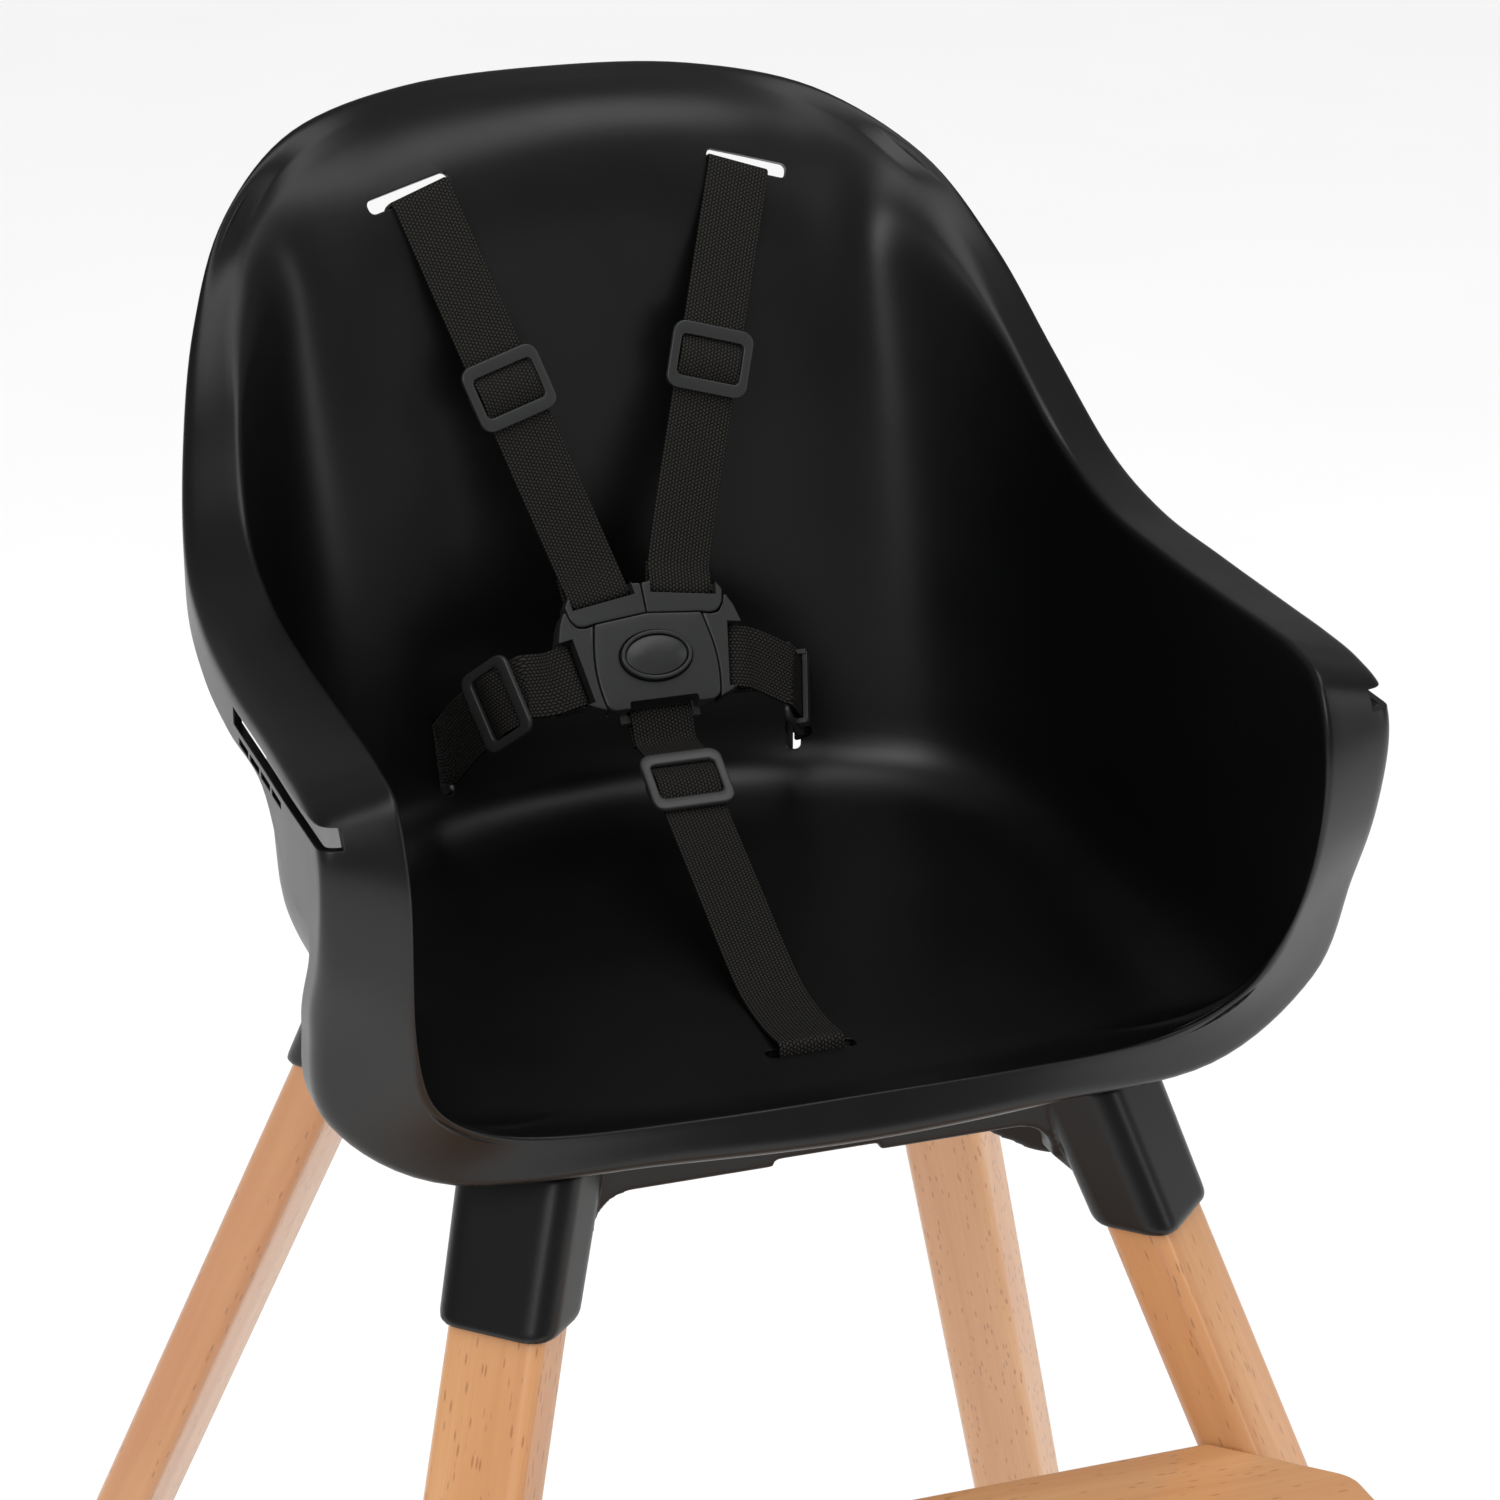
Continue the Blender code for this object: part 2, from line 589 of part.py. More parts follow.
def build_seat_base(material):
    hub = prism(ellipse(HUB_RADIUS, HUB_RADIUS, 32), 516, BASE_TOP_Z)
    base = make_node("seat_base", hub, material)
    beam_low = BEAM_FRONT_Y - BEAM_THICKNESS
    for low, high in ((-BEAM_FRONT_Y, -beam_low), (beam_low, BEAM_FRONT_Y)):
        join(base, box((-BEAM_HALF_LENGTH, low, BEAM_BOTTOM_Z), (BEAM_HALF_LENGTH, high, BASE_TOP_Z)))
    for low, high in ((-SIDE_BEAM_X, -SIDE_BEAM_X + BEAM_THICKNESS), (SIDE_BEAM_X - BEAM_THICKNESS, SIDE_BEAM_X)):
        join(base, box((low, -84, BEAM_BOTTOM_Z), (high, 84, BASE_TOP_Z)))
    for corner in CORNERS:
        join(base, to_corner(corner_web(), corner))
        join(base, to_corner(beam_arch(), corner))
        rings = [
            socket_ring(SOCKET_MOUTH_Z, -0.8, SOCKET_ROUND),
            socket_ring(SOCKET_MOUTH_Z + 2, 0, SOCKET_ROUND),
            socket_ring(SOCKET_CEILING_Z, 0.8, SOCKET_ROUND),
        ]
        join(base, to_corner(loft(rings), corner))
    for x, y in BOSS_PLACES:
        pad = prism(ellipse(BOSS_PAD_RADIUS, BOSS_PAD_RADIUS, 20), 522, BASE_TOP_Z)
        join(base, placed(pad, Matrix.Translation((x, y, 0))))

    top = axis_point(SOCKET_CEILING_Z)
    leg_pocket = [leg_ring(LEG_TOP_Z + GAP, GAP, LEG_ROUND), leg_ring(SOCKET_MOUTH_Z - 20, GAP, LEG_ROUND)]
    bolt_hole = (top - LEG_AXIS * 10, top + LEG_AXIS * 9, LEG_BOLT_RADIUS + GAP, 16)
    head_seat = (top - LEG_AXIS * 18, top - LEG_AXIS * 2.7, 7.5, 20)
    cut(base, gather([to_corner(loft(leg_pocket), corner) for corner in CORNERS]))
    cut(base, gather([to_corner(rod(*bolt_hole), corner) for corner in CORNERS]))
    cut(base, gather([to_corner(rod(*head_seat), corner) for corner in CORNERS]))
    for_screws = []
    for x, y in BOSS_PLACES:
        for_screws.append(placed(prism(ellipse(5.2, 5.2, 16), 500, SCREW_SEAT_Z), Matrix.Translation((x, y, 0))))
    cut(base, gather(for_screws))
    through = []
    for x, y in BOSS_PLACES:
        through.append(placed(prism(ellipse(2.3, 2.3, 12), 520, BASE_TOP_Z + 5), Matrix.Translation((x, y, 0))))
    through.append(prism(ellipse(HUB_HOLE_RADIUS, HUB_HOLE_RADIUS, 24), 500, BASE_TOP_Z + 5))
    cut(base, gather(through))
    cut(base, box((-20, -BEAM_FRONT_Y - 5, BEAM_BOTTOM_Z - 5), (20, -beam_low + 5, BEAM_BOTTOM_Z + 3)))
    return base


def build_shell_screws(steel):
    length = BOSS_HOLE_TOP - SCREW_SEAT_Z - 1.5
    for number, (x, y) in enumerate(BOSS_PLACES, start=1):
        shell_screw = screw(4.4, 2.6, 1.8, length, (x, y, SCREW_SEAT_Z - GAP), (0, 0, 1))
        make_node(f"shell_screw_{number}", shell_screw, steel)


# ---------------------------------------------------------------- footrest
def build_footrest(wood):
    end_x = -FOOTREST_BACK_Y - 28.0
    slant = FOOTREST_HALF_WIDTH - end_x
    corners = [
        (-end_x, FOOTREST_BACK_Y),
        (-FOOTREST_HALF_WIDTH, FOOTREST_BACK_Y - slant),
        (-FOOTREST_HALF_WIDTH, FOOTREST_FRONT_Y),
        (FOOTREST_HALF_WIDTH, FOOTREST_FRONT_Y),
        (FOOTREST_HALF_WIDTH, FOOTREST_BACK_Y - slant),
        (end_x, FOOTREST_BACK_Y),
    ]
    outline = rounded_polygon(corners, [4, 14, 22, 22, 14, 4])
    bottom = FOOTREST_TOP_Z - FOOTREST_THICKNESS
    board = make_node("footrest_board", prism(outline, bottom, FOOTREST_TOP_Z, 2.5), wood)
    pieces = []
    for corner in ("front_left", "front_right"):
        clear = loft([leg_ring(FOOTREST_TOP_Z + 20, GAP), leg_ring(bottom - 20, GAP)])
        pieces.append(to_corner(clear, corner))
    cut(board, gather(pieces))
    pieces = []
    for corner in ("front_left", "front_right"):
        start, inward = footrest_bolt_line()
        bolt_hole = rod(start, start + inward * (LEG_WIDTH + BARREL_NUT_DEPTH + 9), FOOTREST_BOLT_RADIUS + GAP, 16)
        pieces.append(to_corner(bolt_hole, corner))
    cut(board, gather(pieces))
    pieces = []
    for corner in ("front_left", "front_right"):
        nut = start + inward * (LEG_WIDTH + BARREL_NUT_DEPTH)
        nut_hole = rod((nut.x, nut.y, bottom - 6), (nut.x, nut.y, bottom + 15), BARREL_NUT_RADIUS + GAP, 20)
        pieces.append(to_corner(nut_hole, corner))
    cut(board, gather(pieces))


def build_footrest_hardware(steel):
    start, inward = footrest_bolt_line()
    bottom = FOOTREST_TOP_Z - FOOTREST_THICKNESS
    length = LEG_WIDTH + BARREL_NUT_DEPTH + 6
    middle = start + inward * (LEG_WIDTH + BARREL_NUT_DEPTH)
    for side in ("left", "right"):
        corner = f"front_{side}"
        bolt = screw(6.5, 3.4, FOOTREST_BOLT_RADIUS, length, start - inward * 1.2, inward)
        make_node(f"footrest_bolt_{side}", to_corner(bolt, corner), steel)
        nut = rod((middle.x, middle.y, bottom + 0.5), (middle.x, middle.y, bottom + 14.7), BARREL_NUT_RADIUS, 20)
        barrel_nut = make_node(f"footrest_barrel_nut_{side}", to_corner(nut, corner), steel)
        bore = rod(middle - inward * 12, middle + inward * 12, FOOTREST_BOLT_RADIUS + GAP, 16)
        cut(barrel_nut, to_corner(bore, corner))


# ---------------------------------------------------------------- buckle
BUCKLE_UP = Vector((0, math.sin(BUCKLE_LEAN), math.cos(BUCKLE_LEAN)))
BUCKLE_OUT = Vector((0, -math.cos(BUCKLE_LEAN), math.sin(BUCKLE_LEAN)))
HOUSING_BACK = (-6.8, -2.8)    # depth range of the rear cover, along the buckle's outward axis
HOUSING_FRONT = (-2.5, 6.5)
TUNNEL_TOP = 2.3               # roof of the tunnel that the tongues slide into
TUNNEL_LOW_U = -20.0
TUNNEL_HIGH_U = 5.0
BUTTON_CENTRE_U = -7.3
BUTTON_RADII = (14.3, 9.9)
BUTTON_PROUD = 2.8
SPRING_RADIUS = 3.0
SPRING_LOW = -5.7              # floor of the spring's pocket in the rear cover
TONGUE_THICKNESS = (-4.6, 6.2)
TAB_THICKNESS = (-3.2, 6.2)
STRAP_OPENING = 13.2           # half the width of every opening for webbing
SLOT_HALF_WIDTH = 1.5
BAR_HALF_WIDTH = 1.5
BAR_FRONT = 1.0                # front face of the bars that the shoulder and waist straps wrap
SLOT_TO_BAR = SLOT_HALF_WIDTH + BAR_HALF_WIDTH
TAB_SLOT = Vector((16.4, 18.0, 0.0))
TAB_TILT = math.radians(-8.7)
TONGUE_SLOT = Vector((30.8, -9.85, 0.0))
TONGUE_TILT = math.radians(-9.3)
CROTCH_STRAP_SLOT = Vector((0.0, -25.7, 0.0))


def buckle_frame():
    matrix = Matrix((Vector((1, 0, 0)), BUCKLE_UP, BUCKLE_OUT)).transposed().to_4x4()
    matrix.translation = BUCKLE_CENTRE
    return matrix


def in_buckle(solid, side=1):
    return placed(solid, buckle_frame() @ Matrix.Diagonal((side, 1, 1, 1)))


def housing_outline():
    corners = [(-22.5, -27), (22.5, -27), (25.6, -12), (21.7, 8.1), (0, 10.3), (-21.7, 8.1), (-25.6, -12)]
    return rounded_polygon(corners, [4, 4, 40, 1, 0, 1, 40], 3)


def tongue_outline():
    """The visible half-moon beside the housing, on the left side."""
    corners = [(23.1, -26.3), (28, -24.4), (31, -22.8), (33.6, -21.6), (37.2, 3), (35.3, 9.8), (32.6, 15),
               (31.4, 11), (29, 7.4), (25.3, 7), (22.2, 7.6), (26.1, -12)]
    return rounded_polygon(corners, [0, 4, 1, 1, 4, 6, 0.5, 4, 3, 4, 0, 40], 3)


def tab_outline():
    """The shoulder tab above the housing, on the left side."""
    corners = [(0.4, 10.7), (21.6, 8.6), (25.3, 7.8), (28.6, 8.2), (30.9, 11.2), (32, 16.3), (29.8, 20.4),
               (4.4, 24.2), (3, 22.9), (0.4, 22.8)]
    return rounded_polygon(corners, [0, 0, 3, 3, 4, 1, 1.5, 0.5, 0.5, 0.8], 3)


def slot_matrix(centre, tilt, side):
    """Local X along a strap's slot and local Y from the slot to its bar, seen on the left side."""
    turn = Matrix.Rotation(tilt, 4, "Z")
    return buckle_frame() @ Matrix.Diagonal((side, 1, 1, 1)) @ Matrix.Translation(centre) @ turn


def tab_slot_matrix(side):
    return slot_matrix(TAB_SLOT, TAB_TILT, side)


def tongue_slot_matrix(side):
    return slot_matrix(TONGUE_SLOT, TONGUE_TILT - math.pi / 2, side)


def crotch_slot_matrix():
    return slot_matrix(CROTCH_STRAP_SLOT, math.pi, 1)


def cut_strap_slot(node, matrix):
    """A slot through the node, and room in front of its bar for the webbing."""
    slot = box((-STRAP_OPENING, -SLOT_HALF_WIDTH, -20), (STRAP_OPENING, SLOT_HALF_WIDTH, 20))
    cut(node, placed(slot, matrix))
    recess = box((-STRAP_OPENING, 0, BAR_FRONT), (STRAP_OPENING, 20, 20))
    cut(node, placed(recess, matrix))


def build_buckle(plastic, steel):
    outline = housing_outline()
    front = make_node("buckle_front_cover", in_buckle(prism(outline, *HOUSING_FRONT, 0.8)), plastic)
    tunnel = box((-30, TUNNEL_LOW_U, HOUSING_FRONT[0] - 5), (30, TUNNEL_HIGH_U, TUNNEL_TOP))
    cut(front, in_buckle(tunnel))
    middle = Matrix.Translation((0, BUTTON_CENTRE_U, 0))
    width, height = BUTTON_RADII
    window = prism(ellipse(width + CLEARANCE, height + CLEARANCE), 0, 20)
    cut(front, in_buckle(placed(window, middle)))
    notch_top = CROTCH_STRAP_SLOT.y + SLOT_HALF_WIDTH
    cut(front, in_buckle(box((-STRAP_OPENING - 0.8, -40, -20), (STRAP_OPENING + 0.8, notch_top, 20))))

    back = make_node("buckle_back_cover", in_buckle(prism(outline, *HOUSING_BACK, 0.8)), plastic)
    low, high = HOUSING_BACK
    bar_end = CROTCH_STRAP_SLOT.y - SLOT_TO_BAR - BAR_HALF_WIDTH
    join(back, in_buckle(box((-STRAP_OPENING - 3, bar_end, low + 0.4), (STRAP_OPENING + 3, -22, high - 0.4))))
    slot = box((-STRAP_OPENING, -SLOT_HALF_WIDTH, -20), (STRAP_OPENING, SLOT_HALF_WIDTH, 20))
    cut(back, placed(slot, crotch_slot_matrix()))
    pocket = prism(ellipse(SPRING_RADIUS + 1.4, SPRING_RADIUS + 1.4, 20), SPRING_LOW, 5)
    cut(back, in_buckle(placed(pocket, middle)))

    cap = prism(ellipse(width, height), 1.2, HOUSING_FRONT[1] + BUTTON_PROUD, 0.9)
    button = make_node("buckle_button", in_buckle(placed(cap, middle)), plastic)
    join(button, in_buckle(box((-17, BUTTON_CENTRE_U - 5, 0.5), (17, BUTTON_CENTRE_U + 5, 2.0))))

    for name, side in (("left", 1), ("right", -1)):
        tongue = prism(tongue_outline(), *TONGUE_THICKNESS, 0.6)
        tongue = make_node(f"buckle_tongue_{name}", in_buckle(tongue, side), plastic)
        for low in (BUTTON_CENTRE_U - 11.5, BUTTON_CENTRE_U + 6.0):
            join(tongue, in_buckle(box((18, low, -2.3), (27, low + 5.5, 1.9)), side))
        cut_strap_slot(tongue, tongue_slot_matrix(side))
        tab = make_node(f"shoulder_tab_{name}", in_buckle(prism(tab_outline(), *TAB_THICKNESS, 0.6), side), plastic)
        cut_strap_slot(tab, tab_slot_matrix(side))
    build_button_spring(steel)


def build_button_spring(steel):
    """Coil spring between the rear cover and the button."""
    turns, wire, steps, sides = 3, 0.35, 12, 6
    low, high = SPRING_LOW + wire + GAP, 0.5 - wire - GAP
    rings = []
    for i in range(turns * steps + 1):
        angle = 2 * math.pi * i / steps
        out = Vector((math.cos(angle), math.sin(angle), 0))
        centre = out * SPRING_RADIUS + Vector((0, BUTTON_CENTRE_U, low + (high - low) * i / (turns * steps)))
        rings.append([centre + out * wire * math.cos(2 * math.pi * k / sides)
                      + Vector((0, 0, wire * math.sin(2 * math.pi * k / sides))) for k in range(sides)])
    make_node("button_spring", in_buckle(loft(rings)), steel)


# ---------------------------------------------------------------- harness
HALF_STRAP = WEBBING_THICKNESS / 2
LAYER = 1.05                   # half the distance between the two layers of a doubled strap
LOOP_REACH = 11.0              # how far from a bar the returning layer of webbing ends
WAIST_LOOP_REACH = 8.5
LOOP_SHOULDER = 2.6            # where the webbing turns down over the outer edge of the bar
LOOP_CORNER = 1.4
SHOULDER_ADJUSTER_AT = {1: 0.50, -1: 0.52}   # fraction of the way from the shell to the buckle
WAIST_ADJUSTERS = {1: Vector((64, 98, 614)), -1: Vector((-57.8, 101.8, 622))}
CROTCH_ADJUSTER = Vector((0, 50, 600))
CROTCH_RISE = math.radians(30)
CROTCH_LEAD = [(0, -72, 552.4), (0, -48, 554.6), (0, -25, 563.5), (0, -5, 573), (0, 20, 584.6)]
ADJUSTER_STRAIGHT = 15.4       # the webbing runs straight this far each way from an adjuster
STOP_LENGTH = 38.0
STOP_WIDTH = 7.0
STOP_THICKNESS = 3.5
STOP_DEPTH = 5.1
ADJUSTER_LENGTH = 33.0
ADJUSTER_HEIGHT = 27.0
ADJUSTER_BAR = 3.6
ADJUSTER_THICKNESS = 2.2
CLEARANCE = 0.5


def smooth_path(points, steps):
    """Catmull-Rom curve through the points, with straight ends."""
    padded = [points[0] * 2 - points[1]] + points + [points[-1] * 2 - points[-2]]
    curve = []
    for i in range(1, len(padded) - 2):
        for k in range(steps):
            curve.append(blend_rows(padded[i - 1], padded[i], padded[i + 1], padded[i + 2], k / steps))
    curve.append(points[-1])
    return curve


def with_turning_side(points, start_side, end_side):
    """Pairs of point and width direction; the width turns evenly from one end to the other."""
    lengths = [0.0]
    for before, after in zip(points, points[1:]):
        lengths.append(lengths[-1] + (after - before).length)
    return [(point, start_side.lerp(end_side, length / lengths[-1])) for point, length in zip(points, lengths)]


def ribbon(path):
    """Flat webbing along pairs of point and width direction."""
    points = [point for point, side in path]
    rings = []
    for i, (point, side) in enumerate(path):
        before = points[max(i - 1, 0)]
        after = points[min(i + 1, len(points) - 1)]
        miter = 1.0
        if 0 < i < len(points) - 1:
            miter = 1 / math.cos((point - before).angle(after - point) / 2)
            along = ((point - before).normalized() + (after - point).normalized()).normalized()
        else:
            along = (after - before).normalized()
        side = (side - along * side.dot(along)).normalized()
        half_width = side * WEBBING_WIDTH / 2
        half_depth = along.cross(side) * HALF_STRAP * miter
        rings.append([point + half_width + half_depth, point - half_width + half_depth,
                      point - half_width - half_depth, point + half_width - half_depth])
    return loft(rings)


def bar_loop(matrix, low, high, reach=LOOP_REACH, side=1):
    """Webbing that comes in over the front of a bar, goes through the slot and comes back behind it.

    The matrix has its local X along the slot and its local Y from the slot to the bar, whose depth runs
    from `low` to `high`. `reach` is how far from the bar's middle the returning layer ends.
    """
    middle = (low + high) / 2
    face = (high - low) / 2 + GAP + HALF_STRAP
    corner = face - LOOP_CORNER
    turn = -BAR_HALF_WIDTH - GAP
    steps = [(reach, LAYER), (LOOP_SHOULDER, face), (turn, face), (-SLOT_TO_BAR, corner), (-SLOT_TO_BAR, -corner),
             (turn, -face), (LOOP_SHOULDER, -face), (reach, -LAYER)]
    across = matrix.to_3x3() @ Vector((side, 0, 0))
    return [(matrix @ Vector((0, SLOT_TO_BAR + away, middle + depth)), across) for away, depth in steps]


def stop_wrap(frame, side):
    """Webbing round a stop bar and out through the slot; local Z goes behind, local Y across the slot."""
    steps = [(-2.2, 3.9), (-7.4, 3.9), (-8.5, 5.0), (-8.5, 9.0), (-7.3, 10.2), (-0.6, 10.2), (1.2, 8.7), (1.4, 0.5),
             (1.0, -4.8)]
    return [(frame @ Vector((0, across, depth)), side) for across, depth in steps]


def stop_bar(frame):
    low = Vector((-STOP_LENGTH / 2, -STOP_WIDTH - GAP, STOP_DEPTH))
    high = Vector((STOP_LENGTH / 2, -GAP, STOP_DEPTH + STOP_THICKNESS))
    return placed(box(low, high), frame)


def build_adjuster(name, centre, along, side, plastic):
    """Three-bar slide: a frame over the webbing and a middle bar under it."""
    side = (side - along * side.dot(along)).normalized()
    frame = frame_at(centre, side, along.cross(side))
    low = HALF_STRAP + GAP
    high = low + ADJUSTER_THICKNESS
    half_window = WEBBING_WIDTH / 2 + CLEARANCE
    half_length = ADJUSTER_LENGTH / 2 - 0.6
    outline = rectangle(ADJUSTER_LENGTH, ADJUSTER_HEIGHT, 3.0, 3)
    node = make_node(name, placed(prism(outline, low, high, 0.5), frame), plastic)
    half_opening = ADJUSTER_HEIGHT / 2 - ADJUSTER_BAR
    cut(node, placed(box((-half_window, -half_opening, low - high), (half_window, half_opening, 2 * high)), frame))
    for edge in (half_window, -half_length):
        join(node, placed(box((edge, -3, -high), (edge + half_length - half_window, 3, low + 1)), frame))
    reach = half_length - 0.4
    join(node, placed(box((-reach, -ADJUSTER_BAR / 2, 0.3 - high), (reach, ADJUSTER_BAR / 2, -low)), frame))


def curve(start, end, end_way, steps=5):
    """Points of a cubic that leaves along its own chord and arrives in the given direction."""
    chord = end - start
    arrival = end_way * chord.length
    points = []
    for i in range(steps + 1):
        t = i / steps
        points.append(start * (2 * t**3 - 3 * t**2 + 1) + chord * (t**3 - 2 * t**2 + t)
                      + end * (3 * t**2 - 2 * t**3) + arrival * (t**3 - t**2))
    return points


def build_strap(name, wrap, lead, centre, along, side, loop, webbing):
    """One strap: round its stop, along the lead points, straight through its adjuster, to its loop."""
    side = (side - along * side.dot(along)).normalized()
    near = centre - along * ADJUSTER_STRAIGHT
    far = centre + along * ADJUSTER_STRAIGHT
    level = [(near + along, side), (far - along, side)]
    start, start_side = wrap[-1]
    first = smooth_path([start, *lead, near], 4) if lead else curve(start, near, along)
    path = wrap[:-1] + with_turning_side(first, start_side, side) + level + [(far, side)] + loop
    make_node(name, ribbon(path), webbing)


def build_shoulder_harness(webbing, plastic):
    for name, side in (("left", 1), ("right", -1)):
        frame = shoulder_strap_frame(side)
        wrap = stop_wrap(frame, frame.to_3x3() @ Vector((-side, 0, 0)))
        loop = bar_loop(tab_slot_matrix(side), TAB_THICKNESS[0], BAR_FRONT)
        start, end = wrap[-1][0], loop[0][0]
        centre = start.lerp(end, SHOULDER_ADJUSTER_AT[side])
        along = (end - start).normalized()
        across = wrap[-1][1].lerp(loop[0][1], 0.5)
        build_strap(f"shoulder_strap_{name}", wrap, [], centre, along, across, loop, webbing)
        build_adjuster(f"shoulder_adjuster_{name}", centre, along, across * side, plastic)
        make_node(f"shoulder_strap_stop_{name}", stop_bar(frame), plastic)


def build_waist_harness(webbing, plastic):
    for name, side in (("left", 1), ("right", -1)):
        frame = waist_slot_frame(side)
        wrap = stop_wrap(frame, frame.to_3x3() @ Vector((side, 0, 0)))
        loop = bar_loop(tongue_slot_matrix(side), TONGUE_THICKNESS[0], BAR_FRONT, WAIST_LOOP_REACH, -1)
        centre = WAIST_ADJUSTERS[side]
        along = (loop[0][0] - wrap[-1][0]).normalized()
        across = Vector((0, 0, 1)).lerp(BUCKLE_UP, 0.5)
        build_strap(f"waist_strap_{name}", wrap, [], centre, along, across, loop, webbing)
        build_adjuster(f"waist_adjuster_{name}", centre, along, across, plastic)
        make_node(f"waist_strap_stop_{name}", stop_bar(frame), plastic)


def build_crotch_harness(webbing, plastic):
    across = Vector((1, 0, 0))
    frame = frame_at((0, CROTCH_SLOT_Y, PAN_FRONT_Z), across, (0, 0, -1))
    wrap = stop_wrap(frame, across)
    loop = bar_loop(crotch_slot_matrix(), *HOUSING_BACK, LOOP_REACH, -1)
    lead = [Vector(point) for point in CROTCH_LEAD]
    along = Vector((0, math.cos(CROTCH_RISE), math.sin(CROTCH_RISE)))
    build_strap("crotch_strap", wrap, lead, CROTCH_ADJUSTER, along, across, loop, webbing)
    build_adjuster("crotch_adjuster", CROTCH_ADJUSTER, along, -across, plastic)
    make_node("crotch_strap_stop", stop_bar(frame), plastic)


def main():
    clear_scene()
    black_plastic = make_material("black_plastic", (0.018, 0.019, 0.02), 0.42)
    buckle_plastic = make_material("buckle_plastic", (0.035, 0.037, 0.04), 0.38)
    webbing = make_material("webbing", (0.012, 0.012, 0.013), 0.8)
    beech = make_material("beech", (0.72, 0.44, 0.22), 0.35)
    rubber = make_material("rubber", (0.03, 0.03, 0.03), 0.9)
    steel = make_material("zinc_steel", (0.62, 0.63, 0.65), 0.3, 1.0)
    brass = make_material("brass", (0.7, 0.52, 0.25), 0.3, 1.0)
    build_seat_shell(black_plastic)
    build_seat_base(black_plastic)
    build_shell_screws(steel)
    build_legs(beech)
    build_leg_hardware(steel, brass)
    build_foot_pads(rubber)
    build_footrest(beech)
    build_footrest_hardware(steel)
    build_buckle(buckle_plastic, steel)
    build_shoulder_harness(webbing, buckle_plastic)
    build_waist_harness(webbing, buckle_plastic)
    build_crotch_harness(webbing, buckle_plastic)


main()
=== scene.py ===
"""Looks for the high chair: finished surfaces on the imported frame, studio light and camera.

Shapes are in millimetres until new_object turns them into metres. Materials, modifiers and lights are in
metres. +X is the sitter's left, -Y the front.
"""
import math

import bmesh
import bpy
from mathutils import Matrix, Vector


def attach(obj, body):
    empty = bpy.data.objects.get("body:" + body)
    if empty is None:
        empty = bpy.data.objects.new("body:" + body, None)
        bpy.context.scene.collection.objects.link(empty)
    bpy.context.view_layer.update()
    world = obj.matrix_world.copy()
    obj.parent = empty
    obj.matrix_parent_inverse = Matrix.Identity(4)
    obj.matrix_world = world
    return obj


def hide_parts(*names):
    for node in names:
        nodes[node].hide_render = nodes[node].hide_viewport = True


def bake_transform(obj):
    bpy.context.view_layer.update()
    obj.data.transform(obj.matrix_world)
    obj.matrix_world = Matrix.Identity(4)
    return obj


MM = 0.001
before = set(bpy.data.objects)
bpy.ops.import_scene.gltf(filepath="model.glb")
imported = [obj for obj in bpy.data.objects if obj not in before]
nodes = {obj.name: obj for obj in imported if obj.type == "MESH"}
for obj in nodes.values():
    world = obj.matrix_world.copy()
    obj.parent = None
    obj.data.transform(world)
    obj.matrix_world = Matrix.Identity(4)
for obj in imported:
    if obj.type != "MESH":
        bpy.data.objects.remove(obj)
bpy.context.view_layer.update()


# ---- material helpers
class Graph:
    """Short way to write a node tree."""

    def __init__(self, name):
        self.material = bpy.data.materials.new(name)
        self.material.use_nodes = True
        self.tree = self.material.node_tree
        self.shader = self.tree.nodes["Principled BSDF"]

    def node(self, kind, inputs=None, **settings):
        node = self.tree.nodes.new(kind)
        for key, value in settings.items():
            setattr(node, key, value)
        for key, value in (inputs or {}).items():
            self.feed(node.inputs[key], value)
        return node

    def feed(self, socket, value):
        if isinstance(value, bpy.types.NodeSocket):
            self.tree.links.new(value, socket)
        elif isinstance(value, tuple) and len(value) == 3 and socket.type == "RGBA":
            socket.default_value = (*value, 1.0)
        else:
            socket.default_value = value

    def math(self, operation, first, second=0.0):
        return self.node("ShaderNodeMath", {0: first, 1: second}, operation=operation).outputs[0]

    def coordinates(self, output="Object"):
        return self.node("ShaderNodeTexCoord").outputs[output]

    def scaled(self, vector, scale):
        return self.node("ShaderNodeMapping", {"Vector": vector, "Scale": scale}).outputs[0]

    def noise(self, vector, scale, detail=3.0, roughness=0.5, distortion=0.0):
        values = {"Vector": vector, "Scale": scale, "Detail": detail, "Roughness": roughness,
                  "Distortion": distortion}
        return self.node("ShaderNodeTexNoise", values).outputs["Fac"]

    def ramp(self, factor, stops):
        """Colour ramp through (position, colour) stops."""
        node = self.node("ShaderNodeValToRGB", {"Fac": factor})
        elements = node.color_ramp.elements
        while len(elements) < len(stops):
            elements.new(1.0)
        for element, (position, colour) in zip(elements, stops):
            element.position = position
            element.color = (*colour, 1.0)
        return node.outputs["Color"]

    def map_range(self, value, low, high, to_low, to_high):
        values = {"Value": value, "From Min": low, "From Max": high, "To Min": to_low, "To Max": to_high}
        return self.node("ShaderNodeMapRange", values).outputs["Result"]

    def mix(self, factor, first, second):
        values = {"Factor": factor, "A": first, "B": second}
        return self.node("ShaderNodeMix", values, data_type="RGBA").outputs["Result"]

    def bump(self, height, distance, strength=1.0, normal=None):
        values = {"Height": height, "Distance": distance, "Strength": strength}
        if normal is not None:
            values["Normal"] = normal
        return self.node("ShaderNodeBump", values).outputs["Normal"]

    def soft_edges(self, radius):
        return self.node("ShaderNodeBevel", {"Radius": radius}, samples=EDGE_SAMPLES).outputs["Normal"]

    def surface(self, **inputs):
        for key, value in inputs.items():
            self.feed(self.shader.inputs[key.replace("_", " ")], value)
        return self.material


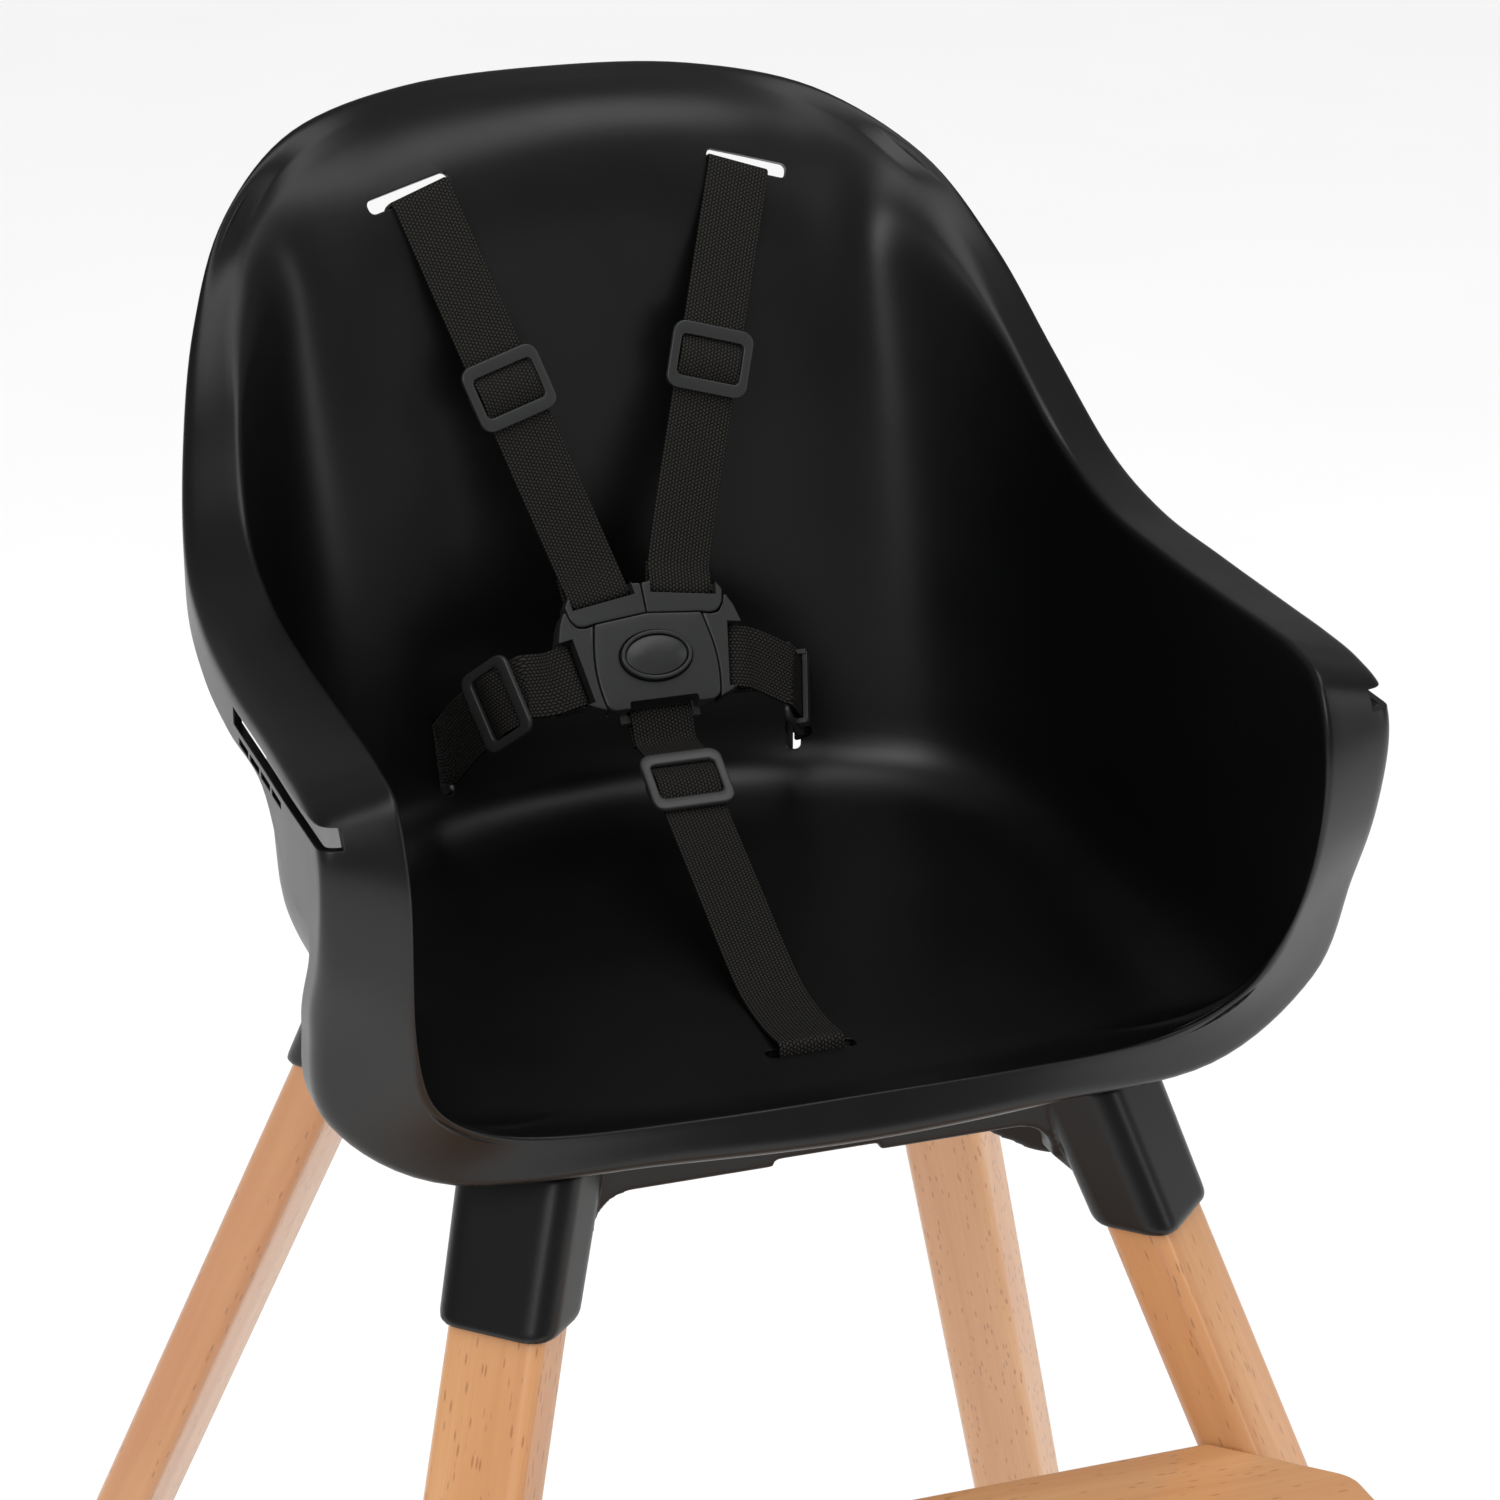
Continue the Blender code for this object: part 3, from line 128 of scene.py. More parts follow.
EDGE_SAMPLES = 6
NOISE_SPREAD = (0.3, 0.7)  # the range that most noise values fall in
CLOUD_SCALE = 14.0

BEECH_DARK = (0.470, 0.200, 0.072)
BEECH_MID = (0.560, 0.275, 0.112)
BEECH_LIGHT = (0.640, 0.350, 0.165)
BEECH_FLECK = (0.240, 0.090, 0.032)
BEECH_TONES = [(0.30, BEECH_DARK), (0.50, BEECH_MID), (0.72, BEECH_LIGHT)]
BEECH_SHIFTS = {"X": 3.1, "Y": 5.7, "Z": 9.3}  # so that no two boards share their grain
BEECH_BANDS = (60.0, 60.0, 3.2)
BEECH_FIBRES = (900.0, 900.0, 22.0)
BEECH_PATCHES = (18.0, 18.0, 1.4)
BEECH_CELLS = (620.0, 620.0, 120.0)
BAND_SHARE = 0.6
FIBRE_STRENGTH = 0.35
FLECK_FROM = 0.62  # cells with a higher random value carry a fleck
FLECK_EDGE = (0.20, 0.34)
FLECK_STRENGTH = 0.55
BEECH_RELIEF = 0.00004
BEECH_EDGE = 0.0012

WEBBING_DARK = (0.0008, 0.0008, 0.0008)
# Painted highlight: the raised stitch tops are coloured this much lighter than the webbing's own black.
WEBBING_STITCH_HIGHLIGHT = (0.024, 0.0225, 0.019)
WEAVE_PITCH_ALONG = 0.00150
WEAVE_PITCH_ACROSS = 0.00132
STITCH_SLANT = 0.35
STITCH_HALF_LENGTH = 0.47  # in pitches
STITCH_HALF_WIDTH = 0.50
STITCH_SQUARENESS = 2.4
STITCH_FULLNESS = 0.6
THREAD_SCALE = (2500.0, 700.0, 1.0)
THREAD_RELIEF = 0.25
WEAVE_RELIEF = 0.0005

SEAT_BLACK = ((0.0018, 0.0019, 0.0019), (0.0028, 0.0029, 0.0030))
BUCKLE_GREY = ((0.019, 0.0195, 0.020), (0.024, 0.0245, 0.025))


def moulded_plastic(name, tones, roughness, grain_scale, grain_depth, edge_radius):
    """Satin black plastic with a fine moulded grain and faint cloudy variation."""
    g = Graph(name)
    place = g.coordinates()
    clouds = g.noise(place, CLOUD_SCALE, 4.0, 0.6)
    grain = g.noise(place, grain_scale, 2.0, 0.6)
    colour = g.mix(clouds, *tones)
    rough = g.map_range(clouds, *NOISE_SPREAD, roughness - 0.03, roughness + 0.04)
    normal = g.bump(grain, grain_depth, 0.5, g.soft_edges(edge_radius))
    return g.surface(Base_Color=colour, Roughness=rough, Specular_IOR_Level=0.42, Normal=normal)


def beech(name):
    """Lacquered beech: the grain runs along the piece's own Z axis."""
    g = Graph(name)
    random = g.node("ShaderNodeObjectInfo").outputs["Random"]
    shifts = {axis: g.math("MULTIPLY", random, factor) for axis, factor in BEECH_SHIFTS.items()}
    offset = g.node("ShaderNodeCombineXYZ", shifts).outputs[0]
    moved = g.node("ShaderNodeVectorMath", {0: g.coordinates(), 1: offset}, operation="ADD").outputs[0]
    bands = g.noise(g.scaled(moved, BEECH_BANDS), 1.0, 3.0, 0.55, 0.6)
    fibres = g.noise(g.scaled(moved, BEECH_FIBRES), 1.0, 3.0, 0.6)
    patches = g.noise(g.scaled(moved, BEECH_PATCHES), 1.0, 2.0, 0.5)
    cell_inputs = {"Vector": g.scaled(moved, BEECH_CELLS), "Scale": 1.0, "Randomness": 1.0}
    cells = g.node("ShaderNodeTexVoronoi", cell_inputs, feature="F1")
    draw = g.node("ShaderNodeSeparateColor", {"Color": cells.outputs["Color"]}).outputs[0]
    keep = g.math("GREATER_THAN", draw, FLECK_FROM)
    fleck = g.math("MULTIPLY", g.map_range(cells.outputs["Distance"], *FLECK_EDGE, 1.0, 0.0), keep)
    tone = g.math("ADD", g.math("MULTIPLY", bands, BAND_SHARE), g.math("MULTIPLY", patches, 1.0 - BAND_SHARE))
    base = g.ramp(tone, BEECH_TONES)
    base = g.mix(g.map_range(fibres, 0.35, 0.75, 0.0, FIBRE_STRENGTH), base, BEECH_DARK)
    base = g.mix(g.math("MULTIPLY", fleck, FLECK_STRENGTH), base, BEECH_FLECK)
    normal = g.bump(g.math("SUBTRACT", fibres, fleck), BEECH_RELIEF, 0.35, g.soft_edges(BEECH_EDGE))
    return g.surface(Base_Color=base, Roughness=0.38, Specular_IOR_Level=0.5, Coat_Weight=0.55,
                     Coat_Roughness=0.12, Normal=normal)


def webbing(name):
    """Woven webbing; the UV map is in metres, U along the strap and V across it.

    Every column of slanted stitches is half a pitch off its neighbours, and leans the other way.
    """
    g = Graph(name)
    uv = g.node("ShaderNodeSeparateXYZ", {"Vector": g.coordinates("UV")})
    rows = g.math("DIVIDE", uv.outputs["X"], WEAVE_PITCH_ALONG)
    columns = g.math("DIVIDE", uv.outputs["Y"], WEAVE_PITCH_ACROSS)
    odd = g.math("MODULO", g.math("FLOOR", columns), 2.0)
    shifted = g.math("ADD", rows, g.math("MULTIPLY", odd, 0.5))
    u = g.math("SUBTRACT", g.math("FRACT", shifted), 0.5)
    v = g.math("SUBTRACT", g.math("FRACT", columns), 0.5)
    lean = g.math("SUBTRACT", g.math("MULTIPLY", odd, 2.0), 1.0)
    u = g.math("ADD", u, g.math("MULTIPLY", g.math("MULTIPLY", v, lean), STITCH_SLANT))
    reaches = []
    for offset, half_size in ((u, STITCH_HALF_LENGTH), (v, STITCH_HALF_WIDTH)):
        share = g.math("DIVIDE", g.math("ABSOLUTE", offset), half_size)
        reaches.append(g.math("POWER", share, STITCH_SQUARENESS))
    height = g.math("MAXIMUM", g.math("SUBTRACT", 1.0, g.math("ADD", *reaches)), 0.0)
    height = g.math("POWER", height, STITCH_FULLNESS)
    threads = g.noise(g.scaled(g.coordinates("UV"), THREAD_SCALE), 1.0, 2.0, 0.6)
    # Painted highlight: colour rises with the stitch height, so the raised stitch tops come out lighter and
    # the gaps keep the webbing's black; the thread noise adds a random tone.
    stitch_highlight = g.math("MULTIPLY", height, g.map_range(threads, *NOISE_SPREAD, 0.75, 1.1))
    colour = g.mix(stitch_highlight, WEBBING_DARK, WEBBING_STITCH_HIGHLIGHT)
    normal = g.bump(g.math("ADD", height, g.math("MULTIPLY", threads, THREAD_RELIEF)), WEAVE_RELIEF)
    return g.surface(Base_Color=colour, Roughness=0.8, Specular_IOR_Level=0.2, Normal=normal)


def plain(name, colour, roughness, metallic, scale, depth):
    """Small parts: an even colour with a little worked unevenness."""
    g = Graph(name)
    grain = g.noise(g.coordinates(), scale, 3.0)
    tone = g.mix(grain, tuple(c * 0.88 for c in colour), colour)
    rough = g.map_range(grain, *NOISE_SPREAD, roughness - 0.05, roughness + 0.05)
    return g.surface(Base_Color=tone, Roughness=rough, Metallic=metallic, Normal=g.bump(grain, depth, 0.3))


seat_plastic, base_plastic = (moulded_plastic(name, SEAT_BLACK, 0.33, 2600.0, 0.00006, 0.0008)
                              for name in ("seat_plastic", "base_plastic"))
buckle_plastic = moulded_plastic("buckle_plastic", BUCKLE_GREY, 0.34, 4200.0, 0.00003, 0.0003)
beech_wood = beech("beech_wood")
strap_weave = webbing("strap_weave")
pad_rubber = plain("pad_rubber", (0.02, 0.02, 0.02), 0.7, 0.0, 900.0, 0.0001)
zinc_steel = plain("zinc_steel", (0.55, 0.55, 0.56), 0.32, 1.0, 700.0, 0.00004)
brass_metal = plain("brass_metal", (0.62, 0.43, 0.16), 0.34, 1.0, 700.0, 0.00004)


# ---- mesh helpers
SHARP_ANGLE = 35.0  # degrees; edges that turn by more stay crisp
SHARP_ANGLE_OF_SHELL = 38.0
SHARP_ANGLE_OF_BUCKLE = 32.0


def new_object(name, solid):
    """A bmesh in millimetres becomes an object in metres, and is freed."""
    bmesh.ops.scale(solid, vec=(MM, MM, MM), verts=solid.verts)
    mesh = bpy.data.meshes.new(name)
    solid.to_mesh(mesh)
    solid.free()
    result = bpy.data.objects.new(name, mesh)
    bpy.context.collection.objects.link(result)
    return result


def shade(piece, sharp_angle):
    piece.data.shade_smooth()
    piece.data.set_sharp_from_angle(angle=math.radians(sharp_angle))


def make_piece(name, solid, material, body, stands_for=(), matrix=None):
    """A bmesh becomes a piece that rides on a body and stands for CAD nodes; a matrix gives its own axes."""
    if matrix is not None:
        bmesh.ops.transform(solid, matrix=matrix.inverted(), verts=solid.verts)
    piece = new_object(name, solid)
    shade(piece, SHARP_ANGLE)
    piece.data.materials.append(material)
    if matrix is not None:
        placed_at = matrix.copy()
        placed_at.translation = matrix.translation * MM
        piece.matrix_world = placed_at
    if stands_for:
        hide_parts(*stands_for)
    if body:
        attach(piece, body)
    return piece


def apply_modifiers(piece):
    """Bake the modifiers into the mesh, so that helper objects can go."""
    bpy.context.view_layer.update()
    graph = bpy.context.evaluated_depsgraph_get()
    baked = bpy.data.meshes.new_from_object(piece.evaluated_get(graph))
    piece.modifiers.clear()
    piece.data = baked


def cut_with(piece, solid, operation="DIFFERENCE"):
    tool = new_object("tool", solid)
    modifier = piece.modifiers.new("cut", "BOOLEAN")
    modifier.object = tool
    modifier.operation = operation
    modifier.solver = "EXACT"
    apply_modifiers(piece)
    bpy.data.objects.remove(tool, do_unlink=True)


def skin(solid, loops):
    """Faces between each closed ring of vertices and the next."""
    for lower, upper in zip(loops, loops[1:]):
        for i in range(len(lower)):
            j = (i + 1) % len(lower)
            solid.faces.new((lower[i], lower[j], upper[j], upper[i]))


def loft(rings):
    """A closed solid through rings with the same number of points."""
    solid = bmesh.new()
    loops = [[solid.verts.new(point) for point in ring] for ring in rings]
    skin(solid, loops)
    solid.faces.new(list(reversed(loops[0])))
    solid.faces.new(loops[-1])
    bmesh.ops.recalc_face_normals(solid, faces=solid.faces)
    return solid


def gather(solids):
    """Several solids as one mesh, not joined."""
    group = bmesh.new()
    for solid in solids:
        mesh = bpy.data.meshes.new("gathered")
        solid.to_mesh(mesh)
        solid.free()
        group.from_mesh(mesh)
        bpy.data.meshes.remove(mesh)
    return group


NEARLY_STRAIGHT = math.radians(179)  # a wider corner needs no rounding


def rounded_polygon(corners, radii, steps=6):
    """Corner points in order, each rounded by its own radius."""
    outline = []
    count = len(corners)
    for i, (corner, radius) in enumerate(zip(corners, radii)):
        here = Vector(corner)
        before = (Vector(corners[i - 1]) - here).normalized()
        after = (Vector(corners[(i + 1) % count]) - here).normalized()
        half = before.angle(after) / 2
        if radius <= 0 or half > NEARLY_STRAIGHT / 2:
            outline.append(tuple(here))
            continue
        reach = radius / math.tan(half)
        middle = here + (before + after).normalized() * (radius / math.sin(half))
        first = here + before * reach - middle
        last = here + after * reach - middle
        sweep = math.atan2(first.cross(last), first.dot(last))
        for k in range(steps + 1):
            turned = Matrix.Rotation(sweep * k / steps, 2) @ first
            outline.append(tuple(middle + turned))
    return outline


def rectangle(width, height, radius, steps=6):
    x, y = width / 2, height / 2
    corners = [(-x, -y), (x, -y), (x, y), (-x, y)]
    return rounded_polygon(corners, [radius] * 4, steps)


def ellipse(radius_x, radius_y, sides=96):
    turns = [2 * math.pi * i / sides for i in range(sides)]
    return [(radius_x * math.cos(turn), radius_y * math.sin(turn)) for turn in turns]


def prism(outline, low, high):
    return loft([[(x, y, z) for x, y in outline] for z in (low, high)])


def box(low, high):
    corners = [(low[0], low[1]), (high[0], low[1]), (high[0], high[1]), (low[0], high[1])]
    return prism(corners, low[2], high[2])


def placed(solid, matrix):
    """The solid moved by a matrix; a mirrored one keeps its faces outwards."""
    bmesh.ops.transform(solid, matrix=matrix, verts=solid.verts)
    if matrix.determinant() < 0:
        bmesh.ops.reverse_faces(solid, faces=solid.faces)
    return solid


def frame_at(origin, x_axis, z_axis):
    """Matrix whose local X and Z run along the given directions."""
    z = Vector(z_axis).normalized()
    x = Vector(x_axis)
    x = (x - z * x.dot(z)).normalized()
    matrix = Matrix((x, z.cross(x), z)).transposed().to_4x4()
    matrix.translation = Vector(origin)
    return matrix


# ---- seat shell
# Section rows, from the top of the back round the arm to the middle of the lip: inner edge of the flange,
# outer edge of the flange, skirt vector, corner where the wall would meet the pan, edge of the flat pan,
# step from the inner edge to the top of the wall, radius of the roll between them, height of the fillet.
SHELL_ROWS = [
    ((0, 197, 838), (0, 222, 844), (0, 4, -20), (0, 142), (0, 118), (0, -24, -7), 14, 20),
    ((60, 196, 833), (58, 218, 842), (0, 4, -20), (52, 135.5), (46, 112.5), (1, -25, -10), 14, 20),
    ((96, 191, 821), (108, 202, 832), (0, 3, -20), (90, 121), (80, 99.5), (-9, -22, -12), 13, 22),
    ((125, 178, 802), (143, 170, 809), (0, 2, -20), (122, 102), (104, 84), (-9, -10, -8), 12, 24),
    ((142, 145, 781), (163, 141, 776), (0, 0, -20), (143, 79), (120, 64), (-5, -3, -4), 10, 26),
    ((152, 111, 750), (176, 109, 739), (0, 0, -20), (154, 56), (126, 45), (0, 0, 0), 8, 29),
    ((160, 74, 717), (185, 72, 708), (0, 0, -20), (159, 33), (128, 26), (0, 0, 0), 7, 32),
    ((162, 30, 701), (189, 30, 695.5), (0, 0, -20), (160, 5), (126, 2), (0, 0, 0), 6, 35),
    ((163, -20, 697.5), (191.5, -20, 692.5), (0, 0, -20), (160, -28), (124, -28), (0, 0, 0), 6, 38),
    ((163.5, -72, 697.5), (192, -72, 692), (0, 0, -20.5), (160, -58), (122, -56), (0, 0, 0), 6, 40),
    ((164, -105, 698), (192.5, -105, 691.5), (0, 0, -44), (160, -80), (120, -76), (0, 0, 0), 6, 42),
    ((164.5, -130, 697), (192.5, -130, 690), (0, 2, -46), (160, -97), (118, -89), (0, 0, 0), 6, 42),
    ((164, -151, 691), (192.5, -149, 684.5), (0, 16, -41), (159.5, -108), (116, -97), (0, 0, 0), 6, 42),
    ((164, -162, 668), (192.5, -155, 668), (0, 21, -26), (159, -115), (113, -100), (0, 0, 0), 6, 42),
    ((164, -161, 640), (192.5, -148, 636), (0, 16, -4), (157, -120), (107, -102), (0, 0, 0), 6, 42),
    ((162, -152, 608), (192.5, -133, 606), (0, 16, -3), (150, -121), (100, -104), (0, 0, 0), 6, 42),
    ((153, -138, 574), (185, -121, 563), (0, 15, 2), (136, -119), (92, -106), (0, 0, 0), 5, 42),
    ((122, -132, 555), (144, -124, 535), (-2, 12, 0), (118, -118), (82, -108), (0, 0, 0), 4, 42),
    ((63, -144, 558), (69, -147, 542), (0, 10, -3), (62, -128), (46, -112), (0, 0, 0), 4, 42),
    ((0, -148, 560), (0, -155, 544), (0, 9, -4), (0, -136), (0, -114), (0, 0, 0), 4, 42),
]
PAN_FRONT_Y = -110.0
PAN_FRONT_Z = 549.0
PAN_RISE = 0.0526
SHELL_STEPS = 8  # sections in each interval between rows
FLANGE_ROUND = 6.0
FLANGE_ROUND_MOST = 0.6  # of the skirt's depth
ROLL_START = 0.5  # of the roll's radius, out from the inner edge
ROLL_END_MOST = 0.3  # of the wall's height
FILLET_MOST = 0.95  # of the height left below the roll
SKIRT_POINTS = 5
EDGE_POINTS = 7
FLANGE_POINTS = 4
ROLL_POINTS = 9
WALL_POINTS = 20
FILLET_POINTS = 24
BOWL_POINTS = 34  # what the wall and its fillet are resampled to
SMOOTH_FROM = 18  # the point of a section where smoothing sets in
SMOOTH_RAMP = 16  # points over which it grows to its full strength
SMOOTH_ROUNDS = 14
WALL = 3.0
BOSS_PLACE = (60, 54)
BOSS_RADIUS = 7
BOSS_LOW_Z = 541.3
SLOT_LENGTH = 34.0
SLOT_WIDTH = 6.0
SLOT_CORNER = 2.4
SLOT_CUT_REACH = 16
CROTCH_CUT_REACH = 10
SHOULDER_SLOT = Vector((69, 175.9, 807.0))
STRAP_INWARD = 3.9  # from the middle of the shoulder slot towards the middle of the back
STRAP_DOWN = 1.9
STRAP_ASKEW = math.radians(4.5)
SHOULDER_SLOT_TILT = math.radians(17)
SHOULDER_SLOT_AXIS = Vector((0, 0.9, -0.43))
WAIST_SLOT = Vector((74.5, 135.2, 591))
WAIST_SLOT_AXIS = Vector((0.36, 0.92, -0.17))
CROTCH_SLOT_Y = -89.0
RAIL_REAR_Y = -30.0
RAIL_FRONT_Y = -175.0
RAIL_LOW_Z = 679.0
RAIL_HIGH_Z = 685.5
RAIL_INNER_X = 184.5
RAIL_OUTER_X = 205.0
NOTCHES = 4
NOTCH_PITCH = 16.5
NOTCH_RIB = 2.5  # what stands between two notches
NOTCH_INNER_X = RAIL_INNER_X + 3.0
NOTCH_REAR_Y = RAIL_REAR_Y - 8.0
NOTCH_HEIGHTS = (674.2, 676.8)


def pan_height(y):
    return PAN_FRONT_Z + (y - PAN_FRONT_Y) * PAN_RISE


def hermite(start, slope_in, end, slope_out, t):
    return (start * (2 * t**3 - 3 * t**2 + 1) + slope_in * (t**3 - 2 * t**2 + t)
            + end * (3 * t**2 - 2 * t**3) + slope_out * (t**3 - t**2))


def catmull_rom(before, start, end, after, t):
    return hermite(start, (end - before) / 2, end, (after - start) / 2, t)


def row_vectors(row, mirror):
    """A row's entries as vectors; the last one holds its roll and fillet."""
    inner, outer, skirt, corner, pan_edge, inset, roll, fillet = row
    flip = Vector((mirror, 1, 1))
    points = [inner, outer, skirt, (*corner, 0), (*pan_edge, 0), inset]
    return [Vector(point) * flip for point in points] + [Vector((roll, fillet, 0))]


def half_sections():
    """Sections from the middle of the back to the middle of the lip."""
    rows = [row_vectors(row, 1) for row in SHELL_ROWS]
    rows = [row_vectors(SHELL_ROWS[1], -1)] + rows + [row_vectors(SHELL_ROWS[-2], -1)]
    sections = []
    for i in range(1, len(rows) - 2):
        for k in range(SHELL_STEPS):
            quartets = zip(rows[i - 1], rows[i], rows[i + 1], rows[i + 2])
            sections.append([catmull_rom(*quartet, k / SHELL_STEPS) for quartet in quartets])
    sections.append(rows[-2])
    return sections


def bend(start, control, end, steps):
    """Points of a quadratic curve after its start, up to its end."""
    return [start * (1 - t) ** 2 + control * 2 * t * (1 - t) + end * t**2
            for t in (i / steps for i in range(1, steps + 1))]


def straight(start, end, steps):
    """Points of a line after its start, up to its end."""
    return [start.lerp(end, i / steps) for i in range(1, steps + 1)]


def lengths_along(points):
    lengths = [0.0]
    for before, after in zip(points, points[1:]):
        lengths.append(lengths[-1] + (after - before).length)
    return lengths


def evenly(points, count):
    """The same line as equal steps, without its first point."""
    lengths = lengths_along(points)
    line = []
    i = 0
    for k in range(1, count):
        reach = lengths[-1] * k / count
        while lengths[i + 1] < reach:
            i += 1
        line.append(points[i].lerp(points[i + 1], (reach - lengths[i]) / (lengths[i + 1] - lengths[i])))
    return line + [points[-1]]


def section_profile(section):
    """The visible face of one section, from the bottom of the skirt to the edge of the pan."""
    inner, outer, skirt, corner, pan_edge, inset, scalars = section
    roll, fillet = scalars.xy
    corner = Vector((corner.x, corner.y, pan_height(corner.y)))
    pan_edge = Vector((pan_edge.x, pan_edge.y, pan_height(pan_edge.y)))
    across = (outer - inner).normalized()
    down = skirt.normalized()
    flange_start = outer - across * FLANGE_ROUND
    roll_start = inner + across * roll * ROLL_START
    roll_corner = inner + inset
    wall = corner - roll_corner
    wall_length = wall.length
    wall.normalize()
    wall_start = roll_corner + wall * min(roll + inset.length, wall_length * ROLL_END_MOST)
    wall_end = corner - wall * min(fillet, (corner - wall_start).length * FILLET_MOST)
    skirt_top = outer + down * min(FLANGE_ROUND, skirt.length * FLANGE_ROUND_MOST)
    profile = [outer + skirt]
    profile += straight(profile[-1], skirt_top, SKIRT_POINTS)
    profile += bend(profile[-1], outer, flange_start, EDGE_POINTS)
    profile += straight(profile[-1], roll_start, FLANGE_POINTS)
    profile += bend(roll_start, roll_corner, wall_start, ROLL_POINTS)
    bowl = [wall_start] + straight(wall_start, wall_end, WALL_POINTS)
    bowl += bend(wall_end, corner, pan_edge, FILLET_POINTS)
    return profile + evenly(bowl, BOWL_POINTS)


def smoothed_around(profiles):
    """Even out the bowl from section to section; the flange stays as it was set."""
    flip = Vector((-1, 1, 1))
    for _ in range(SMOOTH_ROUNDS):
        before_first = [point * flip for point in profiles[1]]
        after_last = [point * flip for point in profiles[-2]]
        relaxed = []
        for before, profile, after in zip([before_first] + profiles, profiles, profiles[1:] + [after_last]):
            row = []
            for j, point in enumerate(profile):
                weight = 0.5 * min(max((j - SMOOTH_FROM) / SMOOTH_RAMP, 0.0), 1.0)
                row.append(point.lerp((before[j] + after[j]) / 2, weight))
            relaxed.append(row)
        profiles = relaxed
    return profiles


def shell_sheet():
    """The visible face of the whole shell as one open sheet, facing up and inwards."""
    sheet = bmesh.new()
    half = smoothed_around([section_profile(section) for section in half_sections()])
    right = [[sheet.verts.new(point) for point in profile] for profile in half]
    left = [right[0]]
    for profile in half[1:-1]:
        left.append([sheet.verts.new((-point.x, point.y, point.z)) for point in profile])
    left.append(right[-1])
    for side in (right, left):
        for first, second in zip(side, side[1:]):
            for i in range(len(first) - 1):
                sheet.faces.new((first[i], first[i + 1], second[i + 1], second[i]))
    rim = [profile[-1] for profile in right] + [profile[-1] for profile in reversed(left[1:-1])]
    sheet.faces.new(rim)
    bmesh.ops.recalc_face_normals(sheet, faces=sheet.faces)
    low = min(sheet.faces, key=lambda face: face.calc_center_median().xy.length)
    if low.normal.z < 0:
        bmesh.ops.reverse_faces(sheet, faces=sheet.faces)
    return sheet


def shoulder_slot_frame(side):
    """Local X along the slot, local Y across it, local Z through the wall to the back."""
    along = Vector((-math.cos(SHOULDER_SLOT_TILT), 0, side * math.sin(SHOULDER_SLOT_TILT)))
    centre = Vector((side * SHOULDER_SLOT.x, SHOULDER_SLOT.y, SHOULDER_SLOT.z))
    return frame_at(centre, along, SHOULDER_SLOT_AXIS)


def shoulder_strap_frame(side):
    """The strap sits at the inner end of its slot, low and a little askew."""
    shift = Matrix.Translation((side * STRAP_INWARD, -STRAP_DOWN, 0))
    return shoulder_slot_frame(side) @ shift @ Matrix.Rotation(side * STRAP_ASKEW, 4, "Z")


def waist_slot_frame(side):
    """The same for the upright slot beside the sitter's hip."""
    centre = Vector((side * WAIST_SLOT.x, WAIST_SLOT.y, WAIST_SLOT.z))
    axis = Vector((side * WAIST_SLOT_AXIS.x, WAIST_SLOT_AXIS.y, WAIST_SLOT_AXIS.z))
    return frame_at(centre, (0, 0, side), axis)


def slot_cutters():
    outline = rectangle(SLOT_LENGTH, SLOT_WIDTH, SLOT_CORNER, 8)
    cutters = []
    for side in (1, -1):
        for place in (shoulder_slot_frame(side), waist_slot_frame(side)):
            cutters.append(placed(prism(outline, -SLOT_CUT_REACH, SLOT_CUT_REACH), place))
    crotch = prism(outline, -CROTCH_CUT_REACH, CROTCH_CUT_REACH)
    cutters.append(placed(crotch, Matrix.Translation((0, CROTCH_SLOT_Y, PAN_FRONT_Z))))
    return cutters


def rail_cutters():
    """The tray groove and the click notches of the rail under it, on both arms."""
    cutters = []
    for side in (1, -1):
        low, high = sorted((side * RAIL_INNER_X, side * RAIL_OUTER_X))
        cutters.append(box((low, RAIL_FRONT_Y, RAIL_LOW_Z), (high, RAIL_REAR_Y, RAIL_HIGH_Z)))
        low, high = sorted((side * NOTCH_INNER_X, side * RAIL_OUTER_X))
        for i in range(NOTCHES):
            rear = NOTCH_REAR_Y - i * NOTCH_PITCH
            front = rear - NOTCH_PITCH + NOTCH_RIB
            cutters.append(box((low, front, NOTCH_HEIGHTS[0]), (high, rear, NOTCH_HEIGHTS[1])))
    return cutters


def build_seat_shell():
    shell = make_piece("seat_shell_surface", shell_sheet(), seat_plastic, None,
                       ["seat_shell"])
    solidify = shell.modifiers.new("wall", "SOLIDIFY")
    solidify.thickness = WALL * MM
    solidify.offset = -1
    solidify.use_even_offset = False
    apply_modifiers(shell)
    for x in (BOSS_PLACE[0], -BOSS_PLACE[0]):
        for y in (BOSS_PLACE[1], -BOSS_PLACE[1]):
            boss = prism(ellipse(BOSS_RADIUS, BOSS_RADIUS, 32), BOSS_LOW_Z, pan_height(y) - WALL / 2)
            cut_with(shell, placed(boss, Matrix.Translation((x, y, 0))), "UNION")
    cut_with(shell, gather(slot_cutters() + rail_cutters()))
    shade(shell, SHARP_ANGLE_OF_SHELL)
    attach(shell, "chair")


